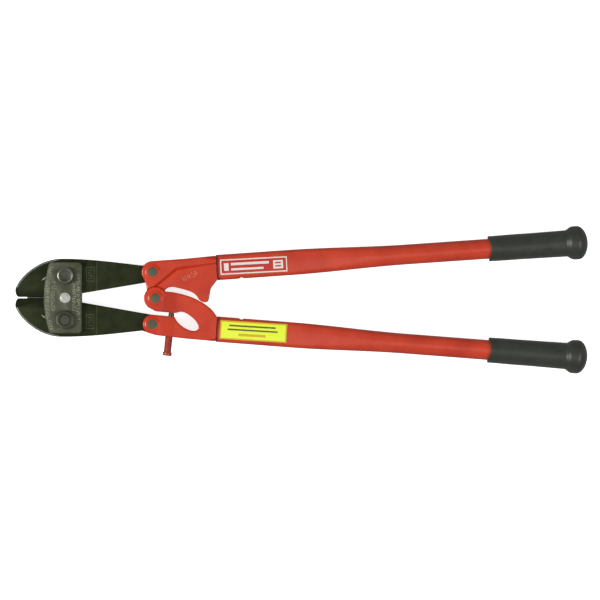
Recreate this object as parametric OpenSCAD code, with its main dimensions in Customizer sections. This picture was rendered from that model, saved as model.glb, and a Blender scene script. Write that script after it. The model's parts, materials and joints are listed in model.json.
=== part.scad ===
// Centre-cut bolt cutters, 24 inch class: a pinned head, two forged adapters, two tubular handles.
// Lengths in millimetres. +X runs from the jaws to the grips, +Y to the upper handle, +Z up.
// The origin is under the middle of the tool, on the surface that it lies on.

/* [Overall] */
// Distance from the centre pivot to the tip of the jaws
jaw_reach = 149.2; // [148:0.1:151]
// Distance along a handle from the centre pivot to the end of its grip
handle_reach = 463.8; // [450:0.1:480]
// Half of the angle between the closed handles
half_angle = 4.17; // [3.5:0.01:5]
// Height of the tool's middle plane above the surface that it lies on
rest_height = 18; // [18:0.1:19]

/* [Blades] */
// Distance from the centre pivot back to the blade bolts
blade_bolt_x = 96; // [95:0.1:97]
// Distance of each blade bolt from the midline
blade_bolt_y = 23.6; // [23:0.1:24.2]
// Thickness of a blade at its jaw
blade_thk = 11.9; // [11:0.1:11.9]
// Thickness of a blade's tail, where it enters the adapter
tail_thk = 9.6; // [9:0.1:9.7]
// Half width of a jaw at the blade bolts, from the midline
jaw_half_width = 41.6; // [41:0.1:42]
// Slope of the inner edge of the tail, in degrees
tail_slope = 9.83; // [9.6:0.01:10]
// Width of the ground bevel along each cutting edge
bevel_w = 11; // [8:0.5:14]
// Width of the flat left on each cutting edge
edge_land = 1; // [0.6:0.1:2]
// Radius of the blade bolt's shank
blade_bolt_r = 6; // [5:0.1:6.5]
// Width across flats of the blade bolt's nut
blade_nut_af = 18; // [17:0.5:19]
// Height of the blade bolt's head and nut
blade_head_h = 6.5; // [6:0.1:6.5]
// Travel left for the lower blade on its bolt, towards the midline
lower_slot = 5.35; // [5.3:0.05:5.6]

/* [Cover plates] */
// Thickness of each cover plate
plate_thk = 5.5; // [5:0.1:5.5]
// Height of a cover plate
plate_h = 75.2; // [74:0.2:77]
// Distance from the centre pivot to the straight edge of the plate
plate_back = 78.5; // [78:0.1:80]
// Distance from the centre pivot to the middle of the round edge
plate_front = 118.4; // [117:0.1:120]
// Radius of the round edge
plate_arc_r = 117.1; // [110:0.1:125]
// Radius of the badge in the middle of the front plate
badge_r = 5.65; // [5:0.05:6]

/* [Adapters] */
// Distance from the centre pivot out to each link bolt
link_y = 28; // [27.8:0.1:28.2]
// Thickness of an adapter at its ears
ear_thk = 23; // [22:0.5:23]
// Thickness of an adapter's body
body_thk = 16; // [14:0.5:17]
// Width of the slots in the ears
slot_w = 10; // [9.9:0.1:10.2]
// Radius of the upper adapter's ear round its link bolt
upper_ear_r = 11.7; // [11.5:0.1:11.9]
// Radius of the lower adapter's ear round its link bolt
lower_ear_r = 10.3; // [10.3:0.1:10.6]
// Radius of the lower adapter's ears round the centre pivot
pivot_ear_r = 12.3; // [12:0.1:12.4]
// Radius of the link bolts' and the pivot bolt's shank
pin_r = 4; // [3.5:0.1:4.2]
// Radius of the round heads let into the ears
pin_head_r = 5.1; // [5:0.1:5.4]
// Radius of the raised boss round each head
boss_r = 7.2; // [7:0.1:7.6]
// Width across flats of the small nuts
pin_nut_af = 13; // [12:0.5:14]

/* [Handles] */
// Width of the flattened end of a handle tube
flat_w = 27.1; // [26:0.1:28]
// Thickness of the flattened end of a handle tube
flat_thk = 12; // [11.5:0.1:12.5]
// Outer radius of the round part of a handle tube
tube_r = 10.65; // [10:0.05:11]
// Wall of a handle tube
tube_wall = 1.8; // [1.6:0.1:2]
// Radius of the knob at the end of a grip
knob_r = 18; // [17:0.1:18]
// Length of a grip
grip_len = 106.4; // [100:0.1:112]
// Distance along a handle from the centre pivot to the near edge of its sticker
label_start = 71.2; // [70:0.1:73]
// Length of a sticker
label_len = 71.3; // [68:0.1:72]
// Width of the sticker on the upper handle
upper_label_w = 16; // [14:0.1:17]
// Width of the sticker on the lower handle
lower_label_w = 19.8; // [18:0.1:21]
// How far the stickers lean towards the midline, in degrees
label_tilt = 0.9; // [0:0.1:1.5]

/* [Adjusting screw] */
// Radius of the screw's shank
screw_r = 4.1; // [4:0.05:4.2]
// Lean of the screw away from square to the handle, in degrees
screw_tilt = 1.7; // [1:0.1:2.4]

/* [Hidden] */
$fn = 96;

forged_red = [0.73, 0.25, 0.16];
black_oxide = [0.17, 0.19, 0.12];
plate_grey = [0.29, 0.30, 0.23];
bolt_grey = [0.35, 0.36, 0.30];
bright_steel = [0.80, 0.80, 0.78];
vinyl_black = [0.13, 0.13, 0.13];
paper_white = [0.93, 0.92, 0.90];
warning_yellow = [0.89, 0.95, 0.24];

running_gap = 0.06;
plane_gap = 0.05;
turn_gap = 0.3;
cut_extra = 1;
upper = 1;
lower = -1;

grip_start = handle_reach - grip_len;
tube_start = 67.4;
tube_end = handle_reach - 9.8;
flat_end = 146;
round_start = 269;
tool_back = handle_reach * cos(half_angle) - link_y * sin(half_angle);
mid_x = (tool_back - jaw_reach) / 2;

plate_z = 6;
plate_top = plate_z + plate_thk;
tail_step_x = -61.5;
tail_end_r = 9.9;
link = [-1, link_y];
bolt_head_h = 5;
head_proud = 0.8;
pin_nut_h = 6;
nut_recess = 0.4;
head_seat = ear_thk / 2 + head_proud - bolt_head_h;
screw_foot = 18.7;

// Points on a circular arc
function arc(centre, r, from, to, steps) =
    [for (i = [0 : steps]) centre + r * [cos(from + (to - from) * i / steps),
                                         sin(from + (to - from) * i / steps)]];

// Points on a smooth curve from a to d, leaving towards b and arriving from c
function curve(a, b, c, d, steps) =
    [for (i = [0 : steps]) let (t = i / steps, s = 1 - t)
        s * s * s * a + 3 * s * s * t * b + 3 * s * t * t * c + t * t * t * d];

// Places the whole tool over its origin
module tool_frame() {
    translate([-mid_x, 0, rest_height]) children();
}

// The upper half as drawn, or the lower half as its mirror image
module half(side) {
    tool_frame() mirror([0, side == lower ? 1 : 0, 0]) children();
}

// The frame of one handle: x along the handle, y outwards, from the centre pivot
module handle_frame(side) {
    half(side) rotate([0, 0, half_angle]) children();
}

// The frame of the adjusting screw: z along the screw, outwards
module screw_frame() {
    handle_frame(lower)
        translate([screw_foot, 0, 0])
            rotate([0, 0, screw_tilt])
                rotate([-90, 0, 0])
                    children();
}

// A slab of the given thickness about the middle plane
module slab(thk) {
    translate([0, 0, -thk / 2]) linear_extrude(thk) children();
}

// A hexagonal prism with a corner on the Y axis
module hex_prism(across_flats, height) {
    rotate([0, 0, 30]) cylinder(r = across_flats / sqrt(3), h = height, $fn = 6);
}

// A flat oval, as wide along Y as w and as thick as t
module oval(w, t) {
    square([t, w - t], center = true);
    translate([0, (w - t) / 2]) circle(d = t);
    translate([0, (t - w) / 2]) circle(d = t);
}

// A bar of oval section along a handle, from x0 to x1
module oval_bar(w, t, x0, x1) {
    translate([x0, link_y, 0]) rotate([0, 90, 0]) linear_extrude(x1 - x0) oval(w, t);
}

// ---- Head ----

// Outline of the upper blade: nose, crown of the jaw, back, tail and the straight cutting edge
module blade_outline() {
    nose_y = 8;
    slit_half = 0.75;
    slit_end = -138;
    relief_x = -106;
    tail_x = -7.5;
    link_at = [link[0] * cos(half_angle) - link[1] * sin(half_angle),
               link[0] * sin(half_angle) + link[1] * cos(half_angle)];
    polygon(concat(
        curve([-146, slit_half], [-148.2, 1.8], [-jaw_reach, 4], [-jaw_reach, nose_y], 5),
        curve([-jaw_reach, nose_y], [-jaw_reach, 16], [-128, jaw_half_width], [-100, jaw_half_width], 16),
        curve([-100, jaw_half_width], [-70, jaw_half_width], [-45, 38.3], [-14, 34.7], 8),
        [link_at + tail_end_r * [cos(110), sin(110)]],
        [link_at],
        [[tail_x, (tail_x - relief_x) * tan(tail_slope)],
         [relief_x, running_gap / 2],
         [slit_end, running_gap / 2],
         [slit_end, slit_half]]));
    translate(link_at) circle(r = tail_end_r);
}

// Wedge of metal ground away in front of a cutting edge
module bevel_cut() {
    ground_from = -jaw_reach - cut_extra;
    ground_to = -110;
    translate([ground_from, 0, 0])
        rotate([90, 0, 90])
            linear_extrude(ground_to - ground_from)
                polygon([[-cut_extra, edge_land / 2],
                         [0, edge_land / 2],
                         [bevel_w, blade_thk / 2],
                         [bevel_w, blade_thk],
                         [-cut_extra, blade_thk]]);
}

// A blade about the tool's middle plane, with the holes for its bolt and its link bolt
module blade_body() {
    difference() {
        union() {
            slab(tail_thk) blade_outline();
            slab(blade_thk) intersection() {
                blade_outline();
                translate([-jaw_reach - cut_extra, -cut_extra])
                    square([jaw_reach + cut_extra + tail_step_x, jaw_half_width + 2 * cut_extra]);
            }
        }
        bevel_cut();
        mirror([0, 0, 1]) bevel_cut();
        translate([-blade_bolt_x, blade_bolt_y, -blade_thk])
            cylinder(r = blade_bolt_r + running_gap, h = 2 * blade_thk);
        rotate([0, 0, half_angle])
            translate([link[0], link[1], -blade_thk])
                cylinder(r = pin_r + running_gap, h = 2 * blade_thk);
    }
}

module upper_blade() {
    color(black_oxide) half(upper) blade_body();
}

// The lower blade's bolt hole runs on towards the midline, so that the head can move as a chain
module lower_blade() {
    slot_side = 0.5;
    slot_end_r = blade_bolt_r + 0.35;
    color(black_oxide) half(lower) difference() {
        blade_body();
        translate([-blade_bolt_x, blade_bolt_y, -blade_thk]) {
            translate([-blade_bolt_r - running_gap, -lower_slot, 0])
                cube([2 * (blade_bolt_r + running_gap) + slot_side, lower_slot, 2 * blade_thk]);
            translate([slot_side / 2, -lower_slot, 0]) cylinder(r = slot_end_r, h = 2 * blade_thk);
        }
    }
}

module plate_outline() {
    corner_r = 4;
    plate_len = 46;
    difference() {
        intersection() {
            translate([plate_arc_r - plate_front, 0]) circle(r = plate_arc_r);
            translate([-plate_back - plate_len, -plate_h / 2]) {
                square([plate_len - corner_r, plate_h]);
                translate([0, corner_r]) square([plate_len, plate_h - 2 * corner_r]);
                translate([plate_len - corner_r, corner_r]) circle(r = corner_r);
                translate([plate_len - corner_r, plate_h - corner_r]) circle(r = corner_r);
            }
        }
        for (side = [upper, lower])
            translate([-blade_bolt_x, side * blade_bolt_y]) circle(r = blade_bolt_r + running_gap);
    }
}

module front_cover_plate() {
    color(plate_grey) tool_frame() translate([0, 0, plate_z]) linear_extrude(plate_thk) plate_outline();
}

module rear_cover_plate() {
    color(plate_grey) tool_frame() translate([0, 0, -plate_top]) linear_extrude(plate_thk) plate_outline();
}

// Plain bright disc on the front plate
module plate_badge() {
    badge_h = 0.6;
    color(bright_steel)
        tool_frame()
            translate([-blade_bolt_x, 0, plate_top])
                cylinder(r = badge_r, h = badge_h);
}

// A round-headed bolt, head upwards, and its shank through the head as far as the end of its nut
module blade_bolt_body() {
    head_r = 8.9;
    rim = 1.2;
    translate([0, 0, plate_top]) {
        cylinder(r = head_r, h = blade_head_h - rim);
        translate([0, 0, blade_head_h - rim]) cylinder(r1 = head_r, r2 = head_r - rim, h = rim);
    }
    translate([0, 0, -plate_top - blade_head_h + nut_recess])
        cylinder(r = blade_bolt_r, h = 2 * plate_top + blade_head_h - nut_recess + cut_extra);
}

module blade_nut_body() {
    translate([0, 0, -plate_top - blade_head_h])
        difference() {
            hex_prism(blade_nut_af, blade_head_h);
            translate([0, 0, -cut_extra])
                cylinder(r = blade_bolt_r + running_gap, h = blade_head_h + 2 * cut_extra);
        }
}

// The upper bolt has its head in front, the lower bolt has its nut in front
module at_blade_bolt(side) {
    tool_frame()
        translate([-blade_bolt_x, side * blade_bolt_y, 0])
            mirror([0, 0, side == lower ? 1 : 0])
                children();
}

module upper_blade_bolt() {
    color(bolt_grey) at_blade_bolt(upper) blade_bolt_body();
}

module upper_blade_nut() {
    color(bolt_grey) at_blade_bolt(upper) blade_nut_body();
}

module lower_blade_bolt() {
    color(bolt_grey) at_blade_bolt(lower) blade_bolt_body();
}

module lower_blade_nut() {
    color(bolt_grey) at_blade_bolt(lower) blade_nut_body();
}

// ---- Adapters ----

// Room for a blade's tail as it swings round the link bolt, and the link bolt's own holes
module link_cuts() {
    swing = 70;
    tail_dir = 181 + tail_slope - half_angle;
    round_room = tail_end_r + 3 * turn_gap;
    side_room = tail_end_r + 2 * turn_gap / 3;
    reach = 26;
    translate([link[0], link[1], 0]) {
        slab(slot_w) {
            circle(r = round_room);
            for (a = [tail_dir, tail_dir - swing])
                rotate([0, 0, a]) translate([0, -side_room]) square([reach, 2 * side_room]);
            polygon(concat([[0, 0]], arc([0, 0], reach, tail_dir - swing, tail_dir, 4)));
        }
        pin_cuts();
    }
}

// Through hole and the seat for a round head, about the Z axis
module pin_cuts() {
    translate([0, 0, -ear_thk]) cylinder(r = pin_r + running_gap, h = 2 * ear_thk);
    translate([0, 0, head_seat]) cylinder(r = pin_head_r + running_gap, h = ear_thk);
}

module head_boss() {
    boss_h = 0.7;
    cylinder(r = boss_r, h = ear_thk / 2 + boss_h);
}

// Tongue of an adapter inside the flattened tube
module tang() {
    slack = 0.1;
    oval_bar(flat_w - 2 * tube_wall - 2 * slack, flat_thk - 2 * tube_wall - 2 * slack, tube_start - 8, 112);
}

// Outline of the upper adapter in its handle's frame, with the stop nub that meets the lower adapter
module upper_adapter_outline() {
    ear_top = link_y + upper_ear_r;
    tube_edge = flat_w / 2 - 0.8;
    polygon(concat(
        [[tube_start, link_y + tube_edge]],
        [[34, ear_top]],
        arc(link, upper_ear_r, 90, 200, 11),
        curve([-10.9, 21.6], [-9.1, 17.5], [-8.3, 14.5], [-8.6, 8], 5),
        [[0, 4]],
        curve([10.2, 7.2], [12.5, 9.8], [16, 12.2], [23, 9.7], 6),
        curve([23, 9.7], [35, 6.0], [43, 3.5], [45.2, -3], 6),
        curve([45.2, -3], [45.9, -4.8], [48.2, -6.9], [50.4, -7.9], 3),
        [[54.4, -8.1]],
        curve([55.6, -7.4], [57.6, -5], [57.9, 4], [60.5, 7.5], 5),
        [[tube_start, link_y - tube_edge]]));
    circle(r = pivot_ear_r - turn_gap);
}

// The raised part of the upper adapter: the link ear, the wall down to the pivot and the top rail
module upper_raised_zone() {
    polygon([[-20, 0],
             [-1.3, 12.5],
             [24.2, 30.8],
             [tube_start, 34.9],
             [tube_start, 45],
             [-20, 45]]);
}

// Metal taken off both faces of the top rail, so that it runs down towards the tube
module rail_slope() {
    slope_from = 30;
    end_z = 9;
    for (up = [0, 1])
        mirror([0, 0, up])
            translate([0, link_y + upper_ear_r + cut_extra, 0])
                rotate([90, 0, 0])
                    linear_extrude(2 * upper_ear_r)
                        polygon([[slope_from, ear_thk / 2],
                                 [tube_start + cut_extra, end_z],
                                 [tube_start + cut_extra, ear_thk],
                                 [slope_from, ear_thk]]);
}

module upper_adapter() {
    lug_thk = tail_thk;
    color(forged_red) handle_frame(upper) difference() {
        union() {
            slab(body_thk) upper_adapter_outline();
            slab(ear_thk) intersection() {
                upper_adapter_outline();
                upper_raised_zone();
            }
            translate([link[0], link[1], 0]) head_boss();
            tang();
        }
        for (up = [0, 1])
            mirror([0, 0, up])
                translate([0, 0, lug_thk / 2])
                    cylinder(r = pivot_ear_r + turn_gap, h = ear_thk);
        rail_slope();
        link_cuts();
        translate([0, 0, -ear_thk]) cylinder(r = pin_r + running_gap, h = 2 * ear_thk);
    }
}

// Outline of the lower adapter: the pivot arm, the long window and the link arm with its flex gap
module lower_adapter_outline() {
    tube_edge = flat_w / 2 - 0.5;
    polygon(concat(
        arc([0, 0], pivot_ear_r, -40, -256, 16),
        curve([-1.8, 12.4], [-1, 13.4], [0.6, 14], [4, 14.1], 3),
        curve([20, 14.3], [24.5, 14.6], [26, 12.2], [29, 12.3], 4),
        curve([29, 12.3], [35, 12.3], [48.4, 21.5], [48.4, 28], 8),
        curve([48.4, 28], [48.4, 31], [44, 32.3], [40.5, 31.6], 5),
        curve([40.5, 31.6], [33, 30.5], [24, 24], [22.4, 19.2], 7),
        [[21.2, 18.2]],
        arc(link, lower_ear_r, -78, -245, 13),
        [[4, 39.4]],
        [[30, 40.4]],
        [[tube_start, link_y + tube_edge]],
        [[tube_start, link_y - tube_edge]],
        curve([65.9, 13.9], [63, 9], [58, 5], [51.5, 1.5], 5),
        curve([51.5, 1.5], [42, -3.8], [29, -6.9], [16, -7.9], 6)));
}

module lower_adapter() {
    ear_zone = 13;
    outside = 20;
    tongue_gap = 0.1;
    hole_from = 16;
    hole_len = 30;
    color(forged_red) difference() {
        handle_frame(lower) difference() {
            union() {
                slab(body_thk) lower_adapter_outline();
                slab(ear_thk) intersection() {
                    lower_adapter_outline();
                    translate([-outside, -outside])
                        square([outside + ear_zone, link_y + lower_ear_r + 2 * outside]);
                }
                translate([link[0], link[1], 0]) head_boss();
                head_boss();
                tang();
            }
            slab(slot_w) circle(r = pivot_ear_r + tongue_gap);
            link_cuts();
            pin_cuts();
        }
        screw_frame() translate([0, 0, hole_from]) cylinder(r = screw_r + running_gap, h = hole_len);
    }
}

// A round-headed shoulder bolt through both ears, and the end that carries its nut
module pin_body() {
    dome = 0.4;
    shank_end = ear_thk / 2 + pin_nut_h - nut_recess;
    translate([0, 0, -shank_end]) cylinder(r = pin_r, h = shank_end + head_seat + dome);
    translate([0, 0, head_seat]) {
        cylinder(r = pin_head_r, h = bolt_head_h);
        translate([0, 0, bolt_head_h]) cylinder(r1 = pin_head_r, r2 = pin_head_r - 2 * dome, h = dome);
    }
}

module pin_nut_body() {
    translate([0, 0, -ear_thk / 2 - pin_nut_h]) difference() {
        hex_prism(pin_nut_af, pin_nut_h);
        translate([0, 0, -cut_extra]) cylinder(r = pin_r + running_gap, h = pin_nut_h + 2 * cut_extra);
    }
}

module upper_link_bolt() {
    color(bolt_grey) handle_frame(upper) translate([link[0], link[1], 0]) pin_body();
}

module upper_link_nut() {
    color(bolt_grey) handle_frame(upper) translate([link[0], link[1], 0]) pin_nut_body();
}

module lower_link_bolt() {
    color(bolt_grey) handle_frame(lower) translate([link[0], link[1], 0]) pin_body();
}

module lower_link_nut() {
    color(bolt_grey) handle_frame(lower) translate([link[0], link[1], 0]) pin_nut_body();
}

module centre_pivot_bolt() {
    color(bolt_grey) handle_frame(lower) pin_body();
}

module centre_pivot_nut() {
    color(bolt_grey) handle_frame(lower) pin_nut_body();
}

// ---- Adjusting screw ----

pad_tip = 14.35;
pad_len = 4.6;
pad_r = 3.05;
spigot_r = 1.5;
spigot_len = 4;

// Small swivel pad that stands still against the pivot arm while the screw turns
module screw_bearing_pad() {
    color(bolt_grey) screw_frame() translate([0, 0, pad_tip]) {
        cylinder(r = pad_r, h = pad_len);
        cylinder(r = spigot_r, h = pad_len + spigot_len);
    }
}

module adjusting_screw() {
    head_start = 56.4;
    screw_end = 60.4;
    head_r = 4.95;
    socket_af = 5;
    socket_depth = 2.5;
    foot = pad_tip + pad_len + plane_gap;
    color(forged_red) screw_frame() difference() {
        union() {
            translate([0, 0, foot]) cylinder(r = screw_r, h = screw_end - foot - cut_extra);
            translate([0, 0, head_start]) cylinder(r = head_r, h = screw_end - head_start);
        }
        translate([0, 0, foot - cut_extra])
            cylinder(r = spigot_r + running_gap, h = spigot_len + 2 * cut_extra);
        translate([0, 0, screw_end - socket_depth]) hex_prism(socket_af, socket_depth + cut_extra);
    }
}

// ---- Handles ----

// Outside of a handle tube, or its bore when inset by the wall
module tube_shape(inset, extra) {
    w = flat_w - 2 * inset;
    t = flat_thk - 2 * inset;
    r = tube_r - inset;
    joint = 0.5;
    oval_bar(w, t, tube_start - extra, flat_end);
    hull() {
        oval_bar(w, t, flat_end - joint, flat_end, $fn = 32);
        translate([round_start, link_y, 0]) rotate([0, 90, 0]) cylinder(r = r, h = joint, $fn = 32);
    }
    translate([round_start, link_y, 0])
        rotate([0, 90, 0])
            cylinder(r = r, h = tube_end - round_start + extra);
}

module handle_tube() {
    crimp_x = 93;
    crimp_r = 2.3;
    crimp_depth = 1.3;
    difference() {
        tube_shape(0, 0);
        tube_shape(tube_wall, cut_extra);
        translate([crimp_x, link_y - flat_w / 2 - crimp_r + crimp_depth, -flat_thk])
            cylinder(r = crimp_r, h = 2 * flat_thk);
    }
}

module upper_handle_tube() {
    color(forged_red) handle_frame(upper) handle_tube();
}

module lower_handle_tube() {
    color(forged_red) handle_frame(lower) handle_tube();
}

// A dipped grip: rolled lip, slightly swelling body and a domed knob, open at the front for the tube
module grip_body() {
    lip_r = 13.6;
    waist_r = 14.1;
    waist = 82;
    flare_x = 86;
    knob_x = 92.6;
    dome_x = 95.6;
    dome_pull = [101.4, 9.6];
    end_gap = 0.1;
    bore_r = tube_r + running_gap;
    translate([grip_start, link_y, 0]) rotate([0, 90, 0]) rotate_extrude() polygon(concat(
        [[bore_r, 0]],
        arc([lip_r - 1.4, 1.4], 1.4, -90, 0, 4),
        [[lip_r, 6]],
        curve([waist_r, waist], [waist_r, flare_x], [knob_r, flare_x], [knob_r, knob_x], 8),
        [[knob_r, dome_x]],
        curve([knob_r, dome_x], [knob_r, dome_pull[0]], [dome_pull[1], grip_len], [0, grip_len], 8),
        [[0, tube_end - grip_start + end_gap]],
        [[bore_r, tube_end - grip_start + end_gap]]));
}

module upper_grip() {
    color(vinyl_black) handle_frame(upper) grip_body();
}

module lower_grip() {
    color(vinyl_black) handle_frame(lower) grip_body();
}

// A thin sticker that follows the front face of the flattened tube
module label_body(width) {
    film = 0.3;
    margin = 2;
    intersection() {
        difference() {
            oval_bar(flat_w + 2 * film, flat_thk + 2 * film, tube_start + margin, flat_end - cut_extra);
            oval_bar(flat_w, flat_thk, tube_start, flat_end);
        }
        translate([label_start, link_y, 0])
            rotate([0, 0, -label_tilt])
                translate([0, -width / 2, 0])
                    cube([label_len, width, flat_thk]);
    }
}

module upper_label() {
    color(paper_white) handle_frame(upper) label_body(upper_label_w);
}

module lower_label() {
    color(warning_yellow) handle_frame(lower) label_body(lower_label_w);
}

upper_blade();
lower_blade();
front_cover_plate();
rear_cover_plate();
plate_badge();
upper_blade_bolt();
upper_blade_nut();
lower_blade_bolt();
lower_blade_nut();
upper_adapter();
lower_adapter();
upper_link_bolt();
upper_link_nut();
lower_link_bolt();
lower_link_nut();
centre_pivot_bolt();
centre_pivot_nut();
adjusting_screw();
screw_bearing_pad();
upper_handle_tube();
lower_handle_tube();
upper_grip();
lower_grip();
upper_label();
lower_label();
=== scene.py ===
"""Looks of a pair of centre-cut bolt cutters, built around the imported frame.

Shapes are modelled in millimetres in the frame of the head or of one handle. A Placement then carries
each mesh into the row frame, in metres, from the joint positions that the frame gives.
"""

import json
import logging
import math
import random
from dataclasses import dataclass, field
from enum import Enum
from typing import Callable, Iterable, Optional, Sequence

import bmesh
import bpy
from mathutils import Matrix, Vector


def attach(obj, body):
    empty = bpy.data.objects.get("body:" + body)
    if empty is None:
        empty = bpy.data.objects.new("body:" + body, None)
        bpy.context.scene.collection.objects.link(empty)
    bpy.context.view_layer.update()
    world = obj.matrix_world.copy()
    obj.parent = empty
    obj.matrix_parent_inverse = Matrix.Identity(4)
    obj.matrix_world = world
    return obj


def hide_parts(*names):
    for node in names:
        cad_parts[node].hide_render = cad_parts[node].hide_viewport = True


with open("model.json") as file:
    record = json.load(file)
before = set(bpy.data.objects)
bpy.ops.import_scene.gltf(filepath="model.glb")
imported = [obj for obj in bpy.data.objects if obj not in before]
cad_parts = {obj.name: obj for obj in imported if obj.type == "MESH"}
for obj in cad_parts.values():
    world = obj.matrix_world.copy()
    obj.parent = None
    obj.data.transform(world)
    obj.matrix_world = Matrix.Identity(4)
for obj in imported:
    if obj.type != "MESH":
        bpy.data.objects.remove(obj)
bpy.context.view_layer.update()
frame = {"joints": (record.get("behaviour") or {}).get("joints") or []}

log = logging.getLogger("bolt_cutters")

MM = 0.001
Point = tuple[float, float]
Corner = tuple[float, float, float]
Colour = tuple[float, float, float]
Solid = bpy.types.Object
Socket = bpy.types.NodeSocket


class Side(Enum):
    """The upper half of the tool, or its mirror image below the midline."""

    UPPER = 1
    LOWER = -1

    @property
    def word(self) -> str:
        """Returns the side as it stands in the names of pieces."""
        return self.name.lower()


class Cut(Enum):
    """The boolean operations that shape a blank."""

    REMOVE = "DIFFERENCE"
    ADD = "UNION"
    KEEP = "INTERSECT"


# ---------------------------------------------------------------- places


def joint_position(name: str) -> Vector:
    """Returns the resting place of a hinge.

    Args:
        name: The joint's name in the record.

    Returns:
        A point on the hinge's axis, in metres.
    """
    for joint in frame["joints"]:
        if joint["name"] == name:
            return Vector(joint["pos_m"])
    raise KeyError(name)


@dataclass(frozen=True)
class Placement:
    """A local frame of the tool, in millimetres, and where it lies in the row frame."""

    origin: Vector
    angle: float = 0.0
    side: Side = Side.UPPER

    def matrix(self) -> Matrix:
        """Returns the matrix from local millimetres to the row frame's metres."""
        mirror = Matrix.Diagonal((1.0, float(self.side.value), 1.0, 1.0))
        turn = Matrix.Rotation(self.angle, 4, "Z")
        return Matrix.Translation(self.origin) @ mirror @ turn @ Matrix.Scale(MM, 4)


CENTRE = joint_position("handles_open")
LINK_OUT = 28.0
LINK_BACK = -1.0
JAW_BOLT: Point = (-96.0, 23.6)
BOLT_HOLE = 6.06
PLATE_FACE = 11.5
TAIL_ROUND = 9.9
TAIL_SLOPE = 9.83
EAR_HALF = 11.5
PIN_SEAT = 7.3
TUBE_START = 67.4
FLAT_WIDTH = 27.1
CLEARANCE = 0.06


def handle_angle() -> float:
    """Returns half of the angle between the closed handles, from where the upper link bolt lies."""
    arm = joint_position("upper_link_pivot") - CENTRE
    return math.atan2(arm.y, arm.x) - math.atan2(LINK_OUT, LINK_BACK)


HALF_ANGLE = handle_angle()
HEAD = {side: Placement(CENTRE, 0.0, side) for side in Side}
HANDLE = {side: Placement(CENTRE, HALF_ANGLE, side) for side in Side}


# ---------------------------------------------------------------- outlines


def arc(centre: Point, radius: float, start: float, end: float, steps: int) -> list[Point]:
    """Returns points along a circular arc.

    Args:
        centre: The arc's centre.
        radius: The arc's radius.
        start: Its first angle, in degrees.
        end: Its last angle, in degrees.
        steps: The number of chords.

    Returns:
        steps + 1 points.
    """
    angles = [math.radians(start + (end - start) * i / steps) for i in range(steps + 1)]
    return [(centre[0] + radius * math.cos(a), centre[1] + radius * math.sin(a)) for a in angles]


def curve(a: Point, b: Point, c: Point, d: Point, steps: int) -> list[Point]:
    """Returns points on a smooth curve from a to d.

    Args:
        a: The first point.
        b: The point that the curve leaves towards.
        c: The point that the curve arrives from.
        d: The last point.
        steps: The number of chords.

    Returns:
        steps + 1 points.
    """
    points = []
    for i in range(steps + 1):
        t = i / steps
        s = 1.0 - t
        weights = (s * s * s, 3 * s * s * t, 3 * s * t * t, t * t * t)
        points.append(tuple(sum(w * p[k] for w, p in zip(weights, (a, b, c, d))) for k in (0, 1)))
    return points


def without_doubles(points: Iterable[Point]) -> list[Point]:
    """Returns the points without those that repeat the one before."""
    least = 0.02
    kept: list[Point] = []
    for point in points:
        if not kept or math.dist(point, kept[-1]) > least:
            kept.append(point)
    if math.dist(kept[0], kept[-1]) <= least:
        kept.pop()
    return kept


# ---------------------------------------------------------------- mesh building


def new_object(name: str, mesh: bpy.types.Mesh) -> Solid:
    """Returns a new object that holds the mesh, linked to the scene."""
    thing = bpy.data.objects.new(name, mesh)
    bpy.context.scene.collection.objects.link(thing)
    return thing


def from_bmesh(name: str, work: bmesh.types.BMesh) -> Solid:
    """Returns a new object made from a bmesh, which is freed."""
    mesh = bpy.data.meshes.new(name)
    bmesh.ops.recalc_face_normals(work, faces=work.faces)
    work.to_mesh(mesh)
    work.free()
    return new_object(name, mesh)


def inwards(points: Sequence[Point], insets: Sequence[float]) -> list[Point]:
    """Returns an outline's corners, each moved inwards by its own distance."""
    least_cosine = 0.7
    following = [*points[1:], points[0]]
    area = sum(a[0] * b[1] - b[0] * a[1] for a, b in zip(points, following))
    hand = 1.0 if area > 0 else -1.0
    moved = []
    for i, (x, y) in enumerate(points):
        before = Vector((x - points[i - 1][0], y - points[i - 1][1])).normalized()
        after = Vector((following[i][0] - x, following[i][1] - y)).normalized()
        normal = Vector((-before.y - after.y, before.x + after.x)) * hand
        normal.normalize()
        reach = insets[i] / max(least_cosine, normal.dot(Vector((-after.y, after.x)) * hand))
        moved.append((x + normal.x * reach, y + normal.y * reach))
    return moved


def lathe(name: str, profile: Sequence[Point], steps: int = 64) -> Solid:
    """Turns a profile about the Z axis.

    Args:
        name: The object's name.
        profile: (radius, height) points from one end of the axis to the other.
        steps: The number of sides.

    Returns:
        A closed solid, or a ring where the profile is a closed loop off the axis.
    """
    work = bmesh.new()
    on_axis = 1e-6
    rings: list[list[bmesh.types.BMVert]] = []
    for radius, height in profile:
        if radius < on_axis:
            rings.append([work.verts.new((0, 0, height))])
            continue
        turns = [2 * math.pi * i / steps for i in range(steps)]
        rings.append([work.verts.new((radius * math.cos(a), radius * math.sin(a), height)) for a in turns])
    closed = len(rings[0]) > 1
    pairs = list(zip(rings, rings[1:]))
    if closed:
        pairs.append((rings[-1], rings[0]))
    for lower, upper in pairs:
        for i in range(steps):
            j = (i + 1) % steps
            below = [lower[k % len(lower)] for k in (i, j)]
            above = [upper[k % len(upper)] for k in (j, i)]
            unique = list(dict.fromkeys(below + above))
            if len(unique) > 2:
                work.faces.new(unique)
    return from_bmesh(name, work)


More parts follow.
